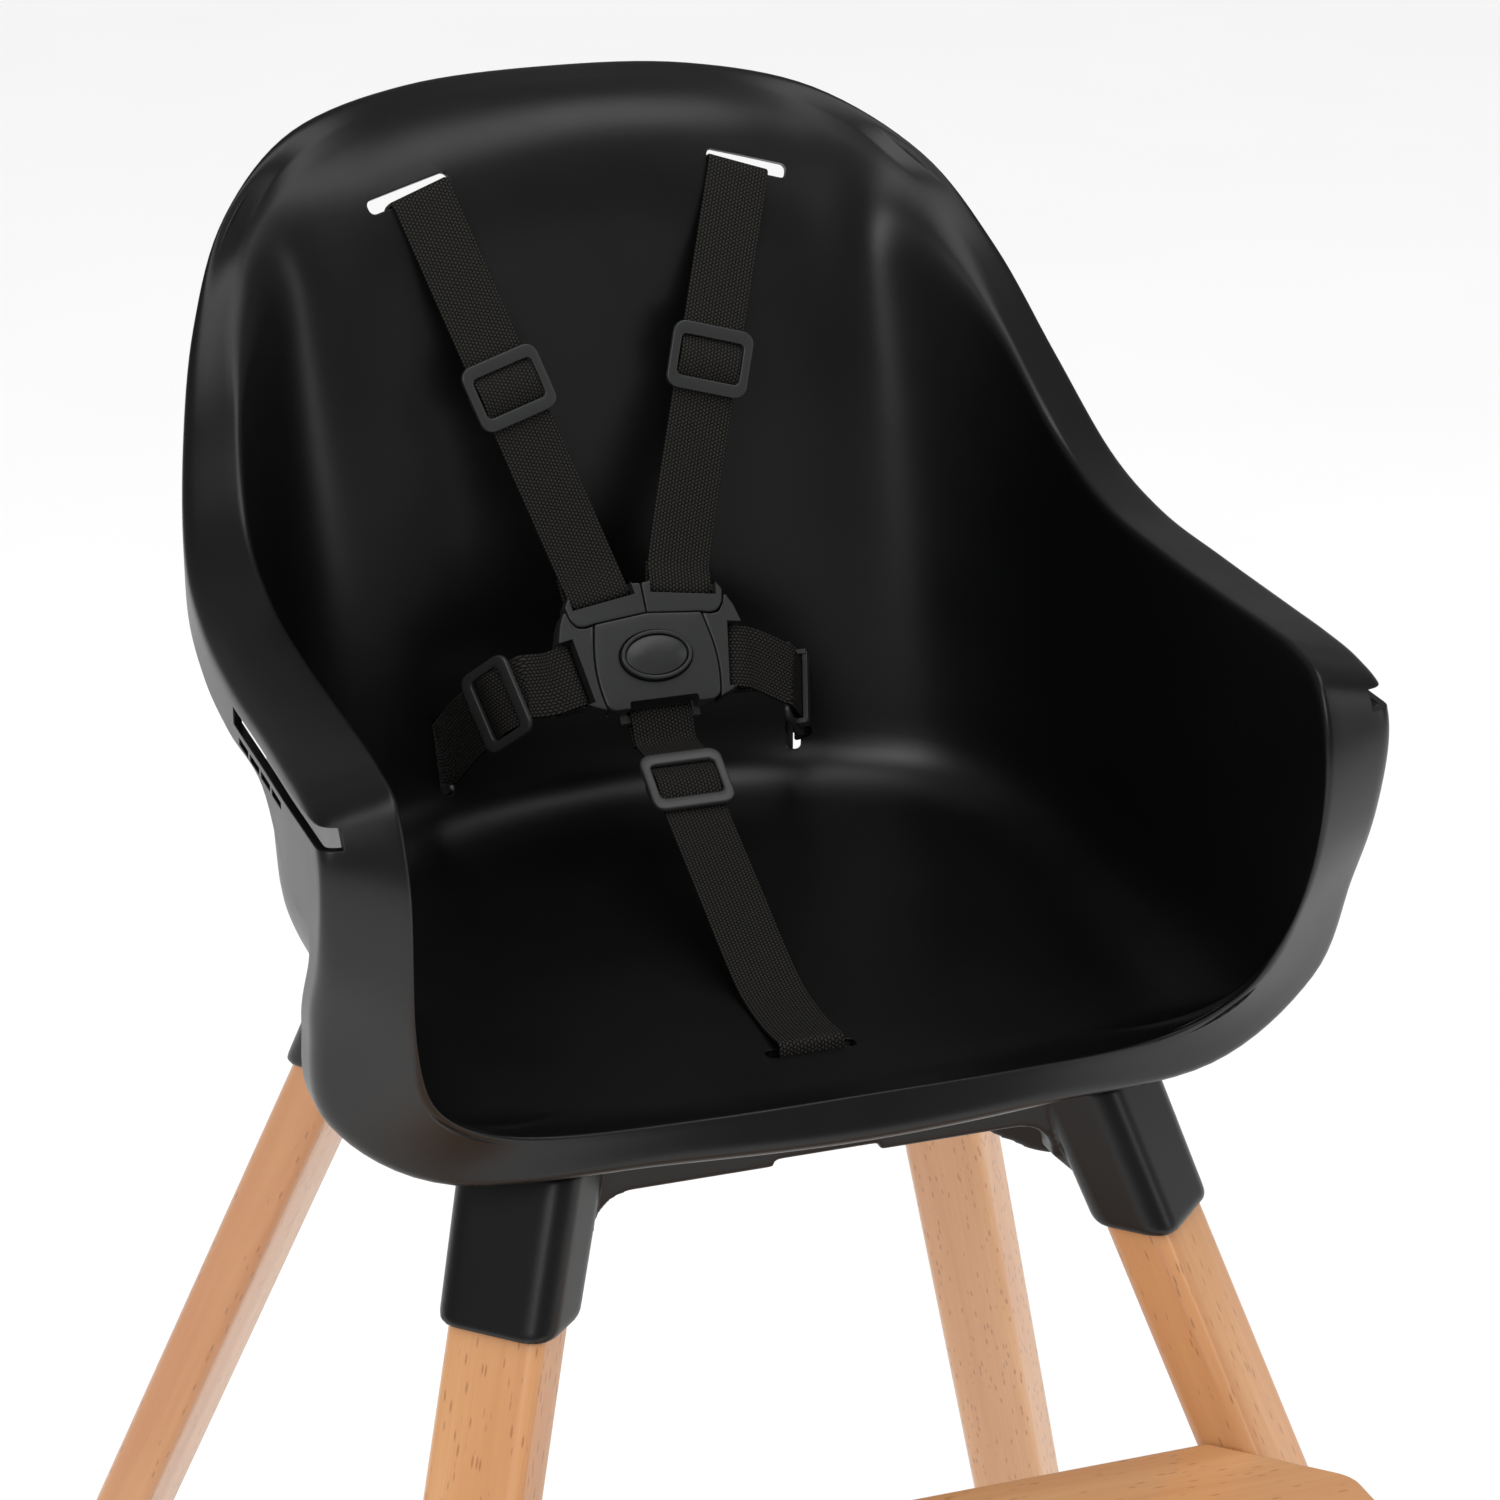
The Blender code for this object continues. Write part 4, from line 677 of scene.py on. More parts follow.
# ---- legs, base and footrest
RADIAL = Vector((1, -1, 0)).normalized()
TANGENT = Vector((1, 1, 0)).normalized()
CORNERS = {"front_left": (1, 1), "front_right": (-1, 1), "rear_left": (1, -1), "rear_right": (-1, -1)}
LEG_DEPTH = 25.0
LEG_WIDTH = 38.0
LEG_ROUND = 5.0
LEG_X_AT_SOCKET = 123.0
LEG_Y_AT_SOCKET = 117.0
SOCKET_MOUTH_Z = 478.0
LEG_SPLAY_X = 0.311
LEG_SPLAY_Y = 0.397
LEG_TOP_Z = 525.0
LEG_EASE = 0.8
LEG_RINGS = 12
FOOT_PAD_HEIGHT = 5.0
LEG_AXIS = Vector((LEG_SPLAY_X, -LEG_SPLAY_Y, -1)).normalized()
FOOTREST_TOP_Z = 401.0
FOOTREST_THICKNESS = 18.0
FOOTREST_BACK_Y = -158.0
FOOTREST_FRONT_Y = -248.0
FOOTREST_HALF_WIDTH = 170.0
FOOTREST_BACK_HALF_WIDTH = 130.0
FOOTREST_CORNERS = [4, 14, 22, 22, 14, 4]
FOOTREST_EASE = 3.0
FOOTREST_EDGE_STEPS = 6
LEG_CLEARANCE = 0.3  # between a leg and its notch in the footrest
NOTCH_ENDS = (20, -40)  # the notch's upper and lower end, from the footrest's top
BASE_VOXEL = 0.0011
BASE_SMOOTH_ROUNDS = 5


def leg_centre(z):
    drop = SOCKET_MOUTH_Z - z
    return Vector((LEG_X_AT_SOCKET + LEG_SPLAY_X * drop, -LEG_Y_AT_SOCKET - LEG_SPLAY_Y * drop, z))


def leg_ring(z, grow=0.0, radius=LEG_ROUND):
    """Horizontal section of the front left leg."""
    centre = leg_centre(z)
    outline = rectangle(LEG_DEPTH + 2 * grow, LEG_WIDTH + 2 * grow, radius, 8)
    return [centre + RADIAL * u + TANGENT * v for u, v in outline]


def leg_solid():
    """The whole front left leg, with eased edges at both ends."""
    top, bottom = LEG_TOP_Z, FOOT_PAD_HEIGHT
    eases = [(0.0, LEG_EASE), (LEG_EASE * 0.3, LEG_EASE * 0.3), (LEG_EASE, 0.0)]
    ends = [[leg_ring(end + way * inwards, -shrink, LEG_ROUND - shrink) for inwards, shrink in eases]
            for end, way in ((top, -1), (bottom, 1))]
    length = top - bottom - 2 * LEG_EASE
    rings = [leg_ring(top - LEG_EASE - length * i / LEG_RINGS) for i in range(1, LEG_RINGS)]
    return loft(ends[0] + rings + ends[1][::-1])


def build_legs():
    for corner, signs in CORNERS.items():
        mirror = Matrix.Diagonal((*signs, 1, 1))
        axis = mirror.to_3x3() @ LEG_AXIS
        side = mirror.to_3x3() @ TANGENT
        wood_frame = frame_at(mirror @ leg_centre(LEG_TOP_Z), side, axis)
        solid = placed(leg_solid(), mirror)
        make_piece(f"{corner}_leg_wood", solid, beech_wood, "chair", [f"{corner}_leg"], wood_frame)


def footrest_solid(middle_y):
    """The board before its notches are cut: its rounded lower edge, then its rounded upper edge."""
    slant_y = FOOTREST_BACK_Y - (FOOTREST_HALF_WIDTH - FOOTREST_BACK_HALF_WIDTH)
    right_side = [(FOOTREST_HALF_WIDTH, FOOTREST_FRONT_Y), (FOOTREST_HALF_WIDTH, slant_y),
                  (FOOTREST_BACK_HALF_WIDTH, FOOTREST_BACK_Y)]
    left_side = [(-x, y) for x, y in reversed(right_side)]
    outline = rounded_polygon(left_side + right_side, FOOTREST_CORNERS, 10)
    half = Vector((FOOTREST_HALF_WIDTH, (FOOTREST_BACK_Y - FOOTREST_FRONT_Y) / 2))
    turns = [math.pi / 2 * k / FOOTREST_EDGE_STEPS for k in range(FOOTREST_EDGE_STEPS + 1)]
    low = FOOTREST_TOP_Z - FOOTREST_THICKNESS + FOOTREST_EASE
    high = FOOTREST_TOP_Z - FOOTREST_EASE
    levels = [(1 - math.sin(turn), low - FOOTREST_EASE * math.cos(turn)) for turn in turns]
    levels += [(1 - math.cos(turn), high + FOOTREST_EASE * math.sin(turn)) for turn in turns]
    rings = []
    for share, height in levels:
        shrink = FOOTREST_EASE * share
        scale = Vector((1 - shrink / half.x, 1 - shrink / half.y))
        rings.append([(x * scale.x, (y - middle_y) * scale.y + middle_y, height) for x, y in outline])
    return loft(rings)


def build_footrest():
    middle_y = (FOOTREST_BACK_Y + FOOTREST_FRONT_Y) / 2
    wood_frame = frame_at((0, middle_y, FOOTREST_TOP_Z), (0, 0, 1), (1, 0, 0))
    board = make_piece("footrest_board_wood", footrest_solid(middle_y), beech_wood, None,
                       ["footrest_board"], wood_frame)
    for side in (1, -1):
        notch = loft([leg_ring(FOOTREST_TOP_Z + rise, LEG_CLEARANCE) for rise in NOTCH_ENDS])
        cut_with(board, placed(notch, Matrix.Diagonal((side, 1, 1, 1))))
    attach(board, "chair")


def finish_base():
    """The base keeps its own mesh; modifiers on it melt its corners into moulded fillets."""
    base = nodes["seat_base"]
    base.data.materials.clear()
    base.data.materials.append(base_plastic)
    remesh = base.modifiers.new("moulded", "REMESH")
    remesh.mode = "VOXEL"
    remesh.voxel_size = BASE_VOXEL
    remesh.use_smooth_shade = True
    smooth = base.modifiers.new("fillets", "SMOOTH")
    smooth.factor = 0.5
    smooth.iterations = BASE_SMOOTH_ROUNDS


# ---- harness
WEBBING_WIDTH = 25.0
WEBBING_THICKNESS = 1.4
HALF_STRAP = WEBBING_THICKNESS / 2
BUCKLE_CENTRE = Vector((0.0, 95.0, 642.0))
BUCKLE_LEAN = math.radians(36.0)  # back from upright
BUCKLE_UP = Vector((0, math.sin(BUCKLE_LEAN), math.cos(BUCKLE_LEAN)))
BUCKLE_OUT = Vector((0, -math.cos(BUCKLE_LEAN), math.sin(BUCKLE_LEAN)))
BUCKLE_FRAME = Matrix((Vector((1, 0, 0)), BUCKLE_UP, BUCKLE_OUT)).transposed().to_4x4()
BUCKLE_FRAME.translation = BUCKLE_CENTRE
SELVEDGE_STEPS = 6
ACROSS_STEPS = 10
GAP = 0.3


def ribbon_section(width, thickness):
    """Outline of the webbing's cross-section, with round selvedges."""
    half_depth = thickness / 2
    flat = width / 2 - half_depth
    section = []
    for end in (1, -1):
        for k in range(SELVEDGE_STEPS + 1):
            angle = math.pi - end * math.pi / 2 - math.pi * k / SELVEDGE_STEPS
            section.append((end * flat + half_depth * math.cos(angle), half_depth * math.sin(angle)))
        for k in range(1, ACROSS_STEPS):
            section.append((end * flat * (1 - 2 * k / ACROSS_STEPS), -end * half_depth))
    return section


def ribbon_mesh(path, width=WEBBING_WIDTH, thickness=WEBBING_THICKNESS):
    """Webbing along (point, side) pairs, with a UV map in metres."""
    section = ribbon_section(width, thickness)
    solid = bmesh.new()
    uv_layer = solid.loops.layers.uv.new("weave")
    points = [point for point, _ in path]
    lengths = lengths_along(points)
    rings = []
    for i, (point, side) in enumerate(path):
        along = (points[min(i + 1, len(points) - 1)] - points[max(i - 1, 0)]).normalized()
        side = (side - along * side.dot(along)).normalized()
        normal = along.cross(side)
        rings.append([solid.verts.new(point + side * a + normal * b) for a, b in section])
    count = len(section)
    for i in range(len(rings) - 1):
        for k in range(count):
            m = (k + 1) % count
            corners = ((i, k), (i, m), (i + 1, m), (i + 1, k))
            face = solid.faces.new([rings[row][column] for row, column in corners])
            for loop, (row, column) in zip(face.loops, corners):
                loop[uv_layer].uv = (lengths[row] * MM, (section[column][0] + width / 2) * MM)
    solid.faces.new(list(reversed(rings[0])))
    solid.faces.new(rings[-1])
    bmesh.ops.recalc_face_normals(solid, faces=solid.faces)
    return solid


def smoothed(path):
    """Corner cutting on (point, side) pairs; the ends stay."""
    for _ in range(CORNER_ROUNDS):
        cut_path = [path[0]]
        for (point, side), (next_point, next_side) in zip(path, path[1:]):
            cut_path.append((point.lerp(next_point, 0.25), side.lerp(next_side, 0.25)))
            cut_path.append((point.lerp(next_point, 0.75), side.lerp(next_side, 0.75)))
        cut_path.append(path[-1])
        path = cut_path
    return path


def thinned(path):
    """Drop points that follow the one before by less than the shortest step."""
    kept = [path[0]]
    for pair in path[1:-1]:
        if (pair[0] - kept[-1][0]).length >= SHORTEST_STEP:
            kept.append(pair)
    return kept + [path[-1]]


def smooth_path(points):
    """A smooth line through the points."""
    padded = [points[0] * 2 - points[1]] + points + [points[-1] * 2 - points[-2]]
    line = []
    for i in range(1, len(padded) - 2):
        for k in range(LEAD_STEPS):
            line.append(catmull_rom(*padded[i - 1:i + 3], k / LEAD_STEPS))
    return line + [points[-1]]


def with_turning_side(points, start_side, end_side):
    """Points paired with the direction across the strap, which turns evenly on the way."""
    lengths = lengths_along(points)
    return [(point, start_side.lerp(end_side, length / lengths[-1]))
            for point, length in zip(points, lengths)]


def curve(start, end, end_way):
    """Points of a cubic that leaves along its own chord and arrives in the given direction."""
    chord = end - start
    arrival = end_way * chord.length
    return [hermite(start, chord, end, arrival, i / CURVE_STEPS) for i in range(CURVE_STEPS + 1)]


CORNER_ROUNDS = 3
SHORTEST_STEP = 0.35
LEAD_STEPS = 4
CURVE_STEPS = 8
LAYER = 1.05  # half the distance between two layers of webbing
LOOP_REACH = 11.0
WAIST_LOOP_REACH = 8.5
LOOP_SHOULDER = 2.6
LOOP_CORNER = 1.4
SLOT_HALF_WIDTH = 1.5
BAR_HALF_WIDTH = 1.5
SLOT_TO_BAR = SLOT_HALF_WIDTH + BAR_HALF_WIDTH
STRAP_OPENING = 13.2
BAR_FRONT = 1.0
THROUGH = 20.0  # how far the buckle's cutters reach
HOUSING_BACK = (-6.8, -2.8)  # lowest and highest point of each part along the buckle's own Z
HOUSING_FRONT = (-2.5, 6.5)
TONGUE_THICKNESS = (-4.6, 6.2)
TAB_THICKNESS = (-3.2, 6.2)
TAB_SLOT = Vector((16.4, 18.0, 0.0))
TAB_TILT = math.radians(-8.7)
TONGUE_SLOT = Vector((30.8, -9.85, 0.0))
TONGUE_TILT = math.radians(-9.3) - math.pi / 2
CROTCH_STRAP_SLOT = Vector((0.0, -25.7, 0.0))
BUTTON_CENTRE_Y = -7.3
SHOULDER_ADJUSTER_AT = {1: 0.50, -1: 0.52}
WAIST_ADJUSTERS = {1: Vector((64, 98, 614)), -1: Vector((-57.8, 101.8, 622))}
CROTCH_ADJUSTER = Vector((0, 50, 600))
CROTCH_RISE = math.radians(30)
CROTCH_LEAD = [(0, -72, 552.4), (0, -48, 554.6), (0, -25, 563.5), (0, -5, 573), (0, 20, 584.6)]
ADJUSTER_STRAIGHT = 15.4
ADJUSTER_OUTLINE = (33.0, 27.0, 5.0)
ADJUSTER_WINDOW = (25.4, 16.4, 2.0)
ADJUSTER_DEPTH = 2.4
ADJUSTER_EDGE = 0.7
HUMP_HALF = 7.8  # the strap's tail over the middle bar, seen in the window
HUMP_RISE = 2.6
HUMP_FULLNESS = 2.2
HUMP_WIDTH = 24.6
HUMP_THICKNESS = 1.2
HUMP_STEPS = 16
BAR_BEHIND = (14.5, 1.7, 2.0)  # half length, half width and depth of the bar behind the strap
POST_INNER_X = 13.4
POST_WIDTH = 1.9
POST_HALF_LENGTH = 2.6
POST_BELOW = 1.6
POST_ABOVE = 0.4
# How the strap's end lies round its stop bar behind the seat, as (across the slot, through the wall).
WRAP_POINTS = [(-2.2, 3.9), (-7.4, 3.9), (-8.5, 5.0), (-8.5, 9.0), (-7.3, 10.2), (-0.6, 10.2), (1.2, 8.7),
               (1.4, 0.5), (1.0, -4.8)]


def slot_matrix(centre, tilt, side):
    """Axes of a strap slot in the buckle: local X along the slot, local Z out of the buckle's face."""
    turn = Matrix.Rotation(tilt, 4, "Z")
    return BUCKLE_FRAME @ Matrix.Diagonal((side, 1, 1, 1)) @ Matrix.Translation(centre) @ turn


def bar_loop(matrix, low, high, reach=LOOP_REACH, side=1):
    """The strap's way through a slot and back round the bar beside it."""
    middle = (low + high) / 2
    face = (high - low) / 2 + GAP + HALF_STRAP
    corner = face - LOOP_CORNER
    turn = -BAR_HALF_WIDTH - GAP
    steps = [(reach, LAYER), (LOOP_SHOULDER, face), (turn, face), (-SLOT_TO_BAR, corner),
             (-SLOT_TO_BAR, -corner), (turn, -face), (LOOP_SHOULDER, -face), (reach, -LAYER)]
    across = matrix.to_3x3() @ Vector((side, 0, 0))
    return [(matrix @ Vector((0, SLOT_TO_BAR + away, middle + depth)), across) for away, depth in steps]


def stop_wrap(place, side):
    return [(place @ Vector((0, across, depth)), side) for across, depth in WRAP_POINTS]


def strap_path(wrap, lead, centre, along, side, loop):
    """From the stop bar, straight through the adjuster, to the loop in the buckle."""
    side = (side - along * side.dot(along)).normalized()
    near = centre - along * ADJUSTER_STRAIGHT
    far = centre + along * ADJUSTER_STRAIGHT
    level = [(near + along, side), (far - along, side)]
    start, start_side = wrap[-1]
    first = smooth_path([start, *lead, near]) if lead else curve(start, near, along)
    path = wrap[:-1] + with_turning_side(first, start_side, side) + level + [(far, side)] + loop
    return thinned(smoothed(path))


def rounded_bar_ring(outer, inner, low, high, edge, steps=3):
    """A flat frame between two matching outlines, with rounded edges."""
    solid = bmesh.new()
    rings = []
    for outside, inside in zip(outer, inner):
        outside, inside = Vector(outside), Vector(inside)
        way = (outside - inside).normalized()
        section = []
        corners = ((outside, way, -1), (outside, way, 1), (inside, -way, 1), (inside, -way, -1))
        for corner, (place, out, vertical) in enumerate(corners):
            level = high - edge if vertical > 0 else low + edge
            for k in range(steps + 1):
                turn = math.pi / 2 * k / steps
                if corner in (0, 2):
                    turn = math.pi / 2 - turn
                spot = place - out * edge * (1 - math.cos(turn))
                section.append((*spot, level + vertical * edge * math.sin(turn)))
        rings.append([solid.verts.new(point) for point in section])
    skin(solid, rings + rings[:1])
    bmesh.ops.recalc_face_normals(solid, faces=solid.faces)
    return solid


def build_adjuster(body, centre, along, side):
    """The frame over the strap, the webbing in its window, and the bar behind, all on one body."""
    side = (side - along * side.dot(along)).normalized()
    place = frame_at(centre, side, along.cross(side))
    low = HALF_STRAP + 2 * GAP
    ring = rounded_bar_ring(rectangle(*ADJUSTER_OUTLINE), rectangle(*ADJUSTER_WINDOW), low,
                            low + ADJUSTER_DEPTH, ADJUSTER_EDGE)
    make_piece(f"{body}_frame", placed(ring, place), buckle_plastic, body, [body])
    arch = []
    for i in range(HUMP_STEPS + 1):
        t = -1 + 2 * i / HUMP_STEPS
        height = low - GAP + HUMP_RISE * (1 - abs(t) ** HUMP_FULLNESS)
        arch.append((place @ Vector((0, -HUMP_HALF * t, height)), place.to_3x3() @ Vector((1, 0, 0))))
    hump = ribbon_mesh(arch, HUMP_WIDTH, HUMP_THICKNESS)
    make_piece(f"{body}_webbing", hump, strap_weave, body)
    x, y, depth = BAR_BEHIND
    bars = [box((-x, -y, -low - depth), (x, y, -low))]
    for x in (POST_INNER_X, -POST_INNER_X - POST_WIDTH):
        bars.append(box((x, -POST_HALF_LENGTH, -low - POST_BELOW),
                        (x + POST_WIDTH, POST_HALF_LENGTH, low + POST_ABOVE)))
    bars = placed(gather(bars), place)
    make_piece(f"{body}_middle_bar", bars, buckle_plastic, body)


def build_strap(node, body, path):
    return make_piece(f"{node}_webbing", ribbon_mesh(path), strap_weave, body, [node])


def give_way(strap):
    """Bake the strap's placement into its mesh."""
    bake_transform(strap)


def build_shoulder_strap(name, side):
    place = shoulder_strap_frame(side)
    wrap = stop_wrap(place, place.to_3x3() @ Vector((-side, 0, 0)))
    loop = bar_loop(slot_matrix(TAB_SLOT, TAB_TILT, side), TAB_THICKNESS[0], BAR_FRONT)
    start, end = wrap[-1][0], loop[0][0]
    centre = start.lerp(end, SHOULDER_ADJUSTER_AT[side])
    along = (end - start).normalized()
    across = wrap[-1][1].lerp(loop[0][1], 0.5)
    strap = build_strap(f"shoulder_strap_{name}", None, strap_path(wrap, [], centre, along, across, loop))
    give_way(strap)
    build_adjuster(f"shoulder_adjuster_{name}", centre, along, across * side)


def build_waist_strap(name, side):
    place = waist_slot_frame(side)
    wrap = stop_wrap(place, place.to_3x3() @ Vector((side, 0, 0)))
    slot = slot_matrix(TONGUE_SLOT, TONGUE_TILT, side)
    loop = bar_loop(slot, TONGUE_THICKNESS[0], BAR_FRONT, WAIST_LOOP_REACH, -1)
    centre = WAIST_ADJUSTERS[side]
    start = wrap[-1][0]
    along = (loop[0][0] - start).normalized()
    across = Vector((0, 0, 1)).lerp(BUCKLE_UP, 0.5)
    strap = build_strap(f"waist_strap_{name}", None, strap_path(wrap, [], centre, along, across, loop))
    give_way(strap)
    build_adjuster(f"waist_adjuster_{name}", centre, along, across)


def build_crotch_strap():
    across = Vector((1, 0, 0))
    wrap = stop_wrap(frame_at((0, CROTCH_SLOT_Y, PAN_FRONT_Z), across, (0, 0, -1)), across)
    loop = bar_loop(slot_matrix(CROTCH_STRAP_SLOT, math.pi, 1), *HOUSING_BACK, LOOP_REACH, -1)
    lead = [Vector(point) for point in CROTCH_LEAD]
    along = Vector((0, math.cos(CROTCH_RISE), math.sin(CROTCH_RISE)))
    build_strap("crotch_strap", "chair", strap_path(wrap, lead, CROTCH_ADJUSTER, along, across, loop))
    build_adjuster("crotch_adjuster", CROTCH_ADJUSTER, along, -across)


def build_straps():
    for name, side in (("left", 1), ("right", -1)):
        build_shoulder_strap(name, side)
        build_waist_strap(name, side)
    build_crotch_strap()


# ---- buckle
def housing_outline():
    corners = [(-22.5, -27), (22.5, -27), (25.6, -12), (21.7, 8.1), (0, 10.3), (-21.7, 8.1), (-25.6, -12)]
    return rounded_polygon(corners, [4, 4, 60, 1, 0, 1, 60], 10)


def tongue_outline():
    corners = [(23.1, -26.3), (28, -24.4), (31, -22.8), (33.6, -21.6), (37.2, 3), (35.3, 9.8), (32.6, 15),
               (31.4, 11), (29, 7.4), (25.3, 7), (22.2, 7.6), (26.1, -12)]
    return rounded_polygon(corners, [0, 4, 1, 1, 4, 8, 0.5, 4, 3, 4, 0, 60], 8)


def tab_outline():
    corners = [(0.25, 10.7), (21.6, 8.6), (25.3, 7.8), (28.6, 8.2), (30.9, 11.2), (32, 16.3), (29.8, 20.4),
               (4.4, 24.2), (3, 22.9), (0.25, 22.8)]
    return rounded_polygon(corners, [0, 0, 3, 3, 4, 1, 1.5, 0.5, 0.5, 0.8], 8)


CROWN_EDGE_STEPS = 5
CROWN_RINGS = 8
HOUSING_CROWN = 0.35
HOUSING_EDGE = 0.7
TAB_EDGE = 0.6
TUNNEL = ((-30, -20, -7.5), (30, 5, 2.3))  # the room for both tongues behind the housing's face
BUTTON_WINDOW = (15.0, 10.6)
BUTTON_WINDOW_LOW = 2.4
BUTTON_RING = ((14.3, 9.9), (12.7, 8.3))
BUTTON_RING_HEIGHTS = (5.3, 9.0)
BUTTON_RING_EDGE = 0.55
BUTTON_DOME = (12.35, 7.95)
BUTTON_DOME_HEIGHTS = (5.2, 8.3)
BUTTON_DOME_CROWN = 1.0
BUTTON_DOME_EDGE = 0.6
NOTCH_HALF_WIDTH = 14
NOTCH_CORNER = 1.2


def crowned(outline, low, high, crown, edge):
    """Solid with a rounded upper edge and a face that rises a little towards its middle."""
    middle = sum((Vector(point) for point in outline), Vector((0, 0))) / len(outline)
    reach = Vector([max(abs(point[axis] - middle[axis]) for point in outline) for axis in (0, 1)])

    def shrunk(amount, height):
        scale = Vector((1 - amount / reach.x, 1 - amount / reach.y))
        return [(*((Vector(point) - middle) * scale + middle), height) for point in outline]

    rings = [[(x, y, low) for x, y in outline]]
    for k in range(CROWN_EDGE_STEPS + 1):
        turn = math.pi / 2 * k / CROWN_EDGE_STEPS
        rings.append(shrunk(edge * (1 - math.cos(turn)), high - edge + edge * math.sin(turn)))
    for k in range(1, CROWN_RINGS):
        t = k / CROWN_RINGS
        rings.append(shrunk(edge + (min(reach) - edge) * t, high + crown * (1 - (1 - t) ** 2)))
    return loft(rings)


def buckle_part(name, solid, side, body, stands_for, cutters=()):
    """Half of the buckle or all of it, drawn for the sitter's left; cutters are already in place."""
    matrix = BUCKLE_FRAME @ Matrix.Diagonal((side, 1, 1, 1))
    piece = make_piece(name, placed(solid, matrix), buckle_plastic, None, stands_for)
    for cutter in cutters:
        cut_with(piece, cutter)
    if cutters:
        shade(piece, SHARP_ANGLE_OF_BUCKLE)
    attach(piece, body)


def slot_cuts(matrix):
    """The slot, and the recess in the face where the strap comes out of it."""
    slot = box((-STRAP_OPENING, -SLOT_HALF_WIDTH, -THROUGH), (STRAP_OPENING, SLOT_HALF_WIDTH, THROUGH))
    recess = box((-STRAP_OPENING, 0, BAR_FRONT), (STRAP_OPENING, THROUGH, THROUGH))
    return [placed(slot, matrix), placed(recess, matrix)]


def build_buckle():
    middle = Matrix.Translation((0, BUTTON_CENTRE_Y, 0))
    window = placed(prism(ellipse(*BUTTON_WINDOW), BUTTON_WINDOW_LOW, THROUGH), middle)
    notch_top = CROTCH_STRAP_SLOT.y + SLOT_HALF_WIDTH
    notch_corners = [(-NOTCH_HALF_WIDTH, -2 * THROUGH), (NOTCH_HALF_WIDTH, -2 * THROUGH),
                     (NOTCH_HALF_WIDTH, notch_top), (-NOTCH_HALF_WIDTH, notch_top)]
    notch_outline = rounded_polygon(notch_corners, [0, 0, NOTCH_CORNER, NOTCH_CORNER])
    cuts = [window, prism(notch_outline, -THROUGH, THROUGH), box(*TUNNEL)]
    cuts = [placed(cut, BUCKLE_FRAME) for cut in cuts]
    housing = crowned(housing_outline(), *HOUSING_FRONT, HOUSING_CROWN, HOUSING_EDGE)
    buckle_part("buckle_front_cover_shell", housing, 1, "chair", ["buckle_front_cover"], cuts)

    for name, side in (("left", 1), ("right", -1)):
        body = f"{name}_tongue"
        tongue = crowned(tongue_outline(), *TONGUE_THICKNESS, 0.0, HOUSING_EDGE)
        cuts = slot_cuts(slot_matrix(TONGUE_SLOT, TONGUE_TILT, side))
        buckle_part(f"buckle_tongue_{name}_shell", tongue, side, body, [f"buckle_tongue_{name}"], cuts)
        tab = crowned(tab_outline(), *TAB_THICKNESS, 0.0, TAB_EDGE)
        cuts = slot_cuts(slot_matrix(TAB_SLOT, TAB_TILT, side))
        buckle_part(f"shoulder_tab_{name}_shell", tab, side, body, [f"shoulder_tab_{name}"], cuts)

    outer, inner = (ellipse(*size) for size in BUTTON_RING)
    ring = rounded_bar_ring(outer, inner, *BUTTON_RING_HEIGHTS, BUTTON_RING_EDGE, 5)
    buckle_part("buckle_button_ring", placed(ring, middle), 1, "button", ["buckle_button"])
    dome = crowned(ellipse(*BUTTON_DOME), *BUTTON_DOME_HEIGHTS, BUTTON_DOME_CROWN, BUTTON_DOME_EDGE)
    buckle_part("buckle_button_dome", placed(dome, middle), 1, "button", [])


# ---- finishes on the remaining CAD pieces
def finish_cad_pieces():
    finishes = {"foot_pad": pad_rubber, "leg_insert": brass_metal, "strap_stop": buckle_plastic,
                "buckle_back_cover": buckle_plastic}
    for name, node in nodes.items():
        if node.hide_render or name == "seat_base":
            continue
        material = next((value for key, value in finishes.items() if key in name), zinc_steel)
        node.data.materials.clear()
        node.data.materials.append(material)


# ---- stage, light and camera
CAMERA_PLACE = Vector((-494.5, -1440.3, 1229.9))
CAMERA_AZIMUTH = -0.336  # radians
CAMERA_ELEVATION = 0.374
CAMERA_ROLL = -0.005
CAMERA_LENS = 106.07
CAMERA_SENSOR = 36.0
MIRRORED_WORLD = 0.20  # how bright the surroundings look in the plastic
FLOOR_SIZE = 12.0
FLOOR_Z = -0.0005
FLOOR_TONES = ((0.90, 0.90, 0.90), (0.93, 0.93, 0.93))
# Name, place, target, size and power of each light.
LIGHTS = [
    ("key", (-1.5, -1.7, 2.1), (0, 0, 0.6), (1.0, 1.2), 18.0),
    ("fill", (1.9, -1.2, 1.4), (0, 0, 0.55), (0.7, 1.8), 6.0),
    ("top", (0.3, -0.3, 2.7), (0, 0.05, 0.6), (2.2, 0.9), 14.0),
]


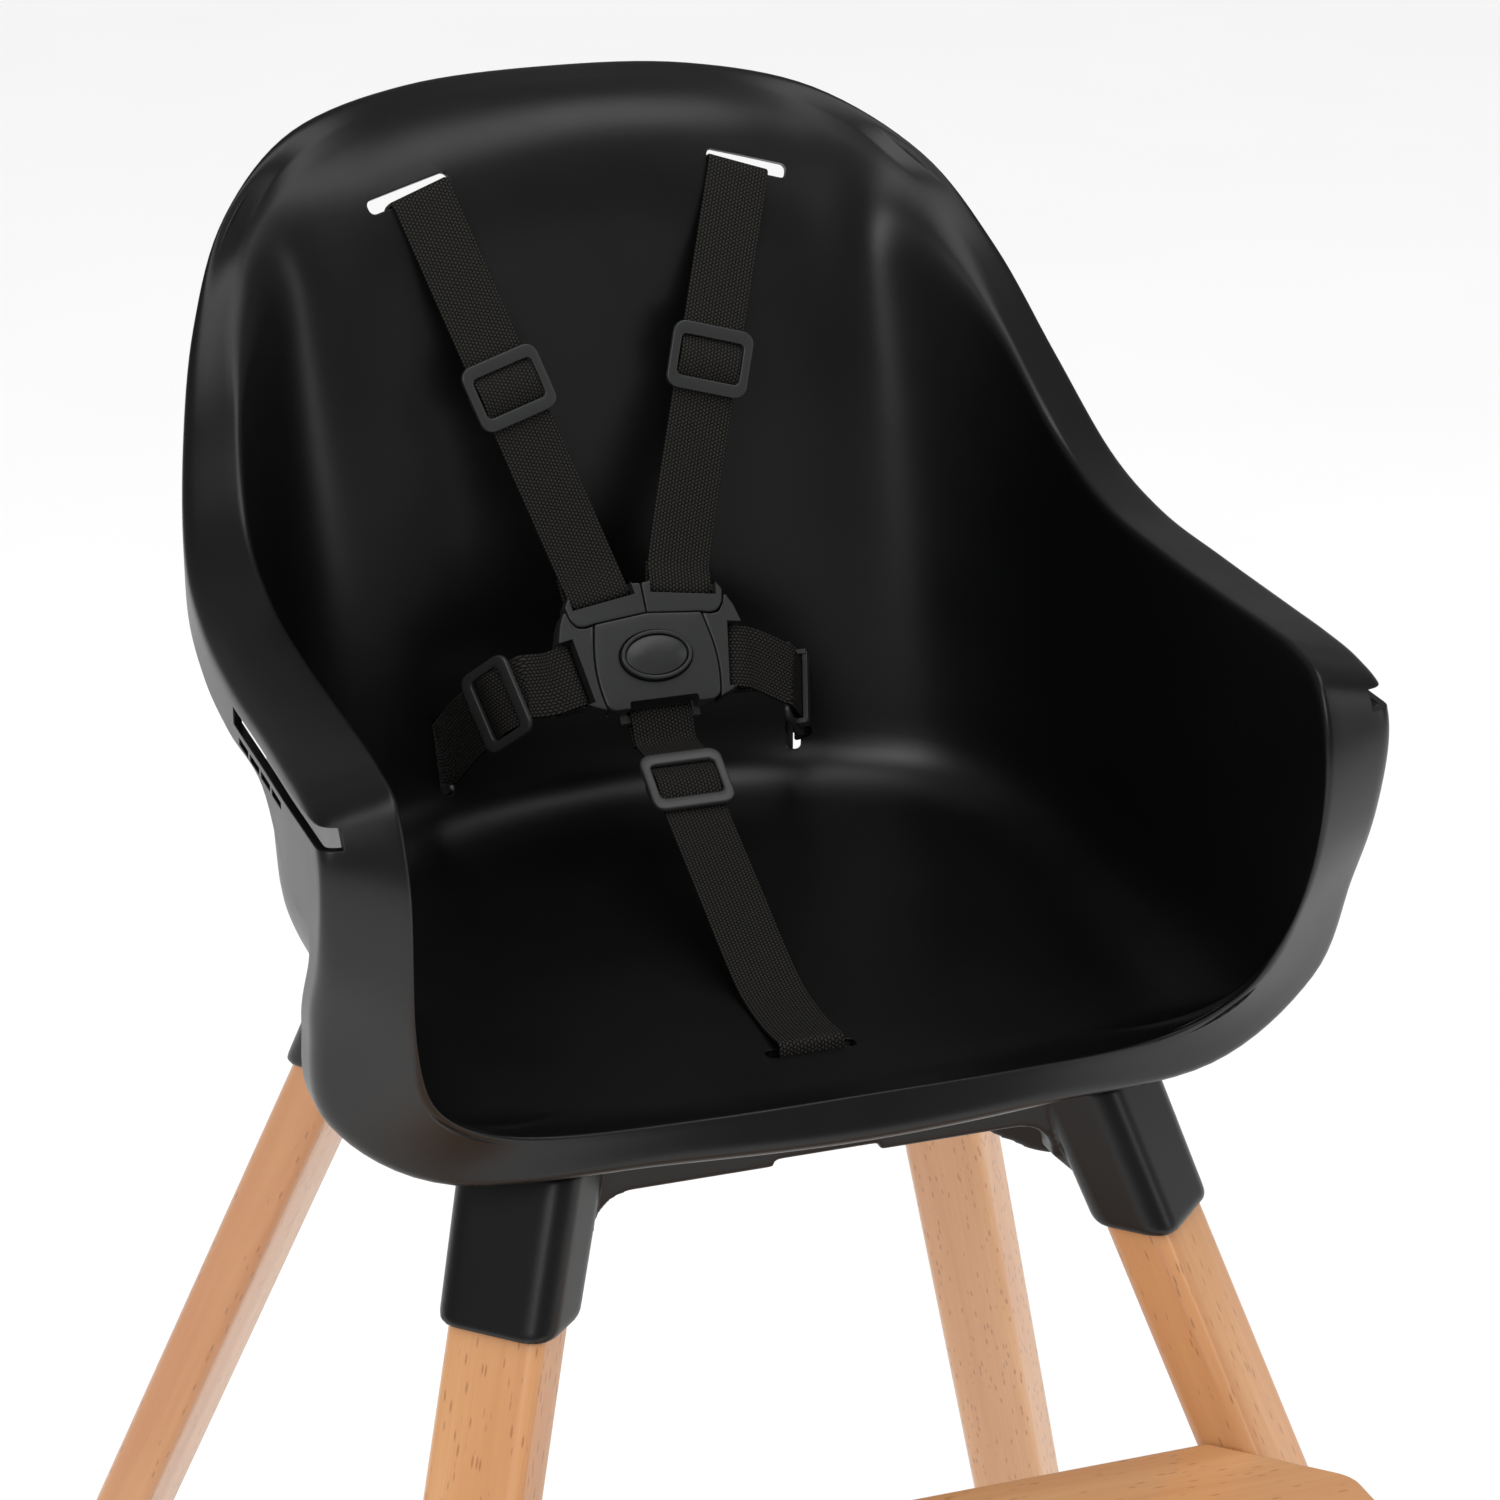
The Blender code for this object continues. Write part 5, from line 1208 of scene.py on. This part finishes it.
def area_light(name, place, target, size, power):
    light = bpy.data.lights.new(name, "AREA")
    light.shape = "RECTANGLE"
    light.size, light.size_y = size
    light.energy = power
    lamp = bpy.data.objects.new(name, light)
    lamp.location = place
    lamp.rotation_euler = (Vector(target) - Vector(place)).to_track_quat("-Z", "Y").to_euler()
    bpy.context.collection.objects.link(lamp)


def build_floor():
    bpy.ops.mesh.primitive_plane_add(size=FLOOR_SIZE, location=(0, 0, FLOOR_Z))
    floor = bpy.context.object
    floor.name = "studio_floor"
    g = Graph("floor_paint")
    tone = g.mix(g.noise(g.coordinates(), 3.0, 2.0), *FLOOR_TONES)
    floor.data.materials.append(g.surface(Base_Color=tone, Roughness=0.75, Specular_IOR_Level=0.1))


def build_lighting():
    """A white world that gloss sees dimmed, and three soft lights."""
    world = bpy.data.worlds.new("studio")
    bpy.context.scene.world = world
    world.use_nodes = True
    background = world.node_tree.nodes["Background"]
    rays = world.node_tree.nodes.new("ShaderNodeLightPath")
    tone = world.node_tree.nodes.new("ShaderNodeMapRange")
    tone.inputs["To Min"].default_value = 1.0
    tone.inputs["To Max"].default_value = MIRRORED_WORLD
    world.node_tree.links.new(rays.outputs["Is Glossy Ray"], tone.inputs["Value"])
    world.node_tree.links.new(tone.outputs["Result"], background.inputs["Strength"])
    background.inputs["Color"].default_value = (1.0, 1.0, 1.0, 1.0)
    for light in LIGHTS:
        area_light(*light)
    bpy.context.scene.view_settings.view_transform = "Standard"


def build_camera():
    camera = bpy.data.cameras.new("camera")
    camera.lens = CAMERA_LENS
    camera.sensor_width = CAMERA_SENSOR
    holder = bpy.data.objects.new("camera", camera)
    aim = Matrix.Rotation(CAMERA_AZIMUTH, 4, "Z") @ Matrix.Rotation(math.pi / 2 - CAMERA_ELEVATION, 4, "X")
    roll = Matrix.Rotation(CAMERA_ROLL, 4, "Z")
    holder.matrix_world = Matrix.Translation(CAMERA_PLACE * MM) @ aim @ roll
    bpy.context.collection.objects.link(holder)
    bpy.context.scene.camera = holder


build_seat_shell()
finish_base()
build_legs()
build_footrest()
build_straps()
build_buckle()
finish_cad_pieces()
build_floor()
build_lighting()
build_camera()
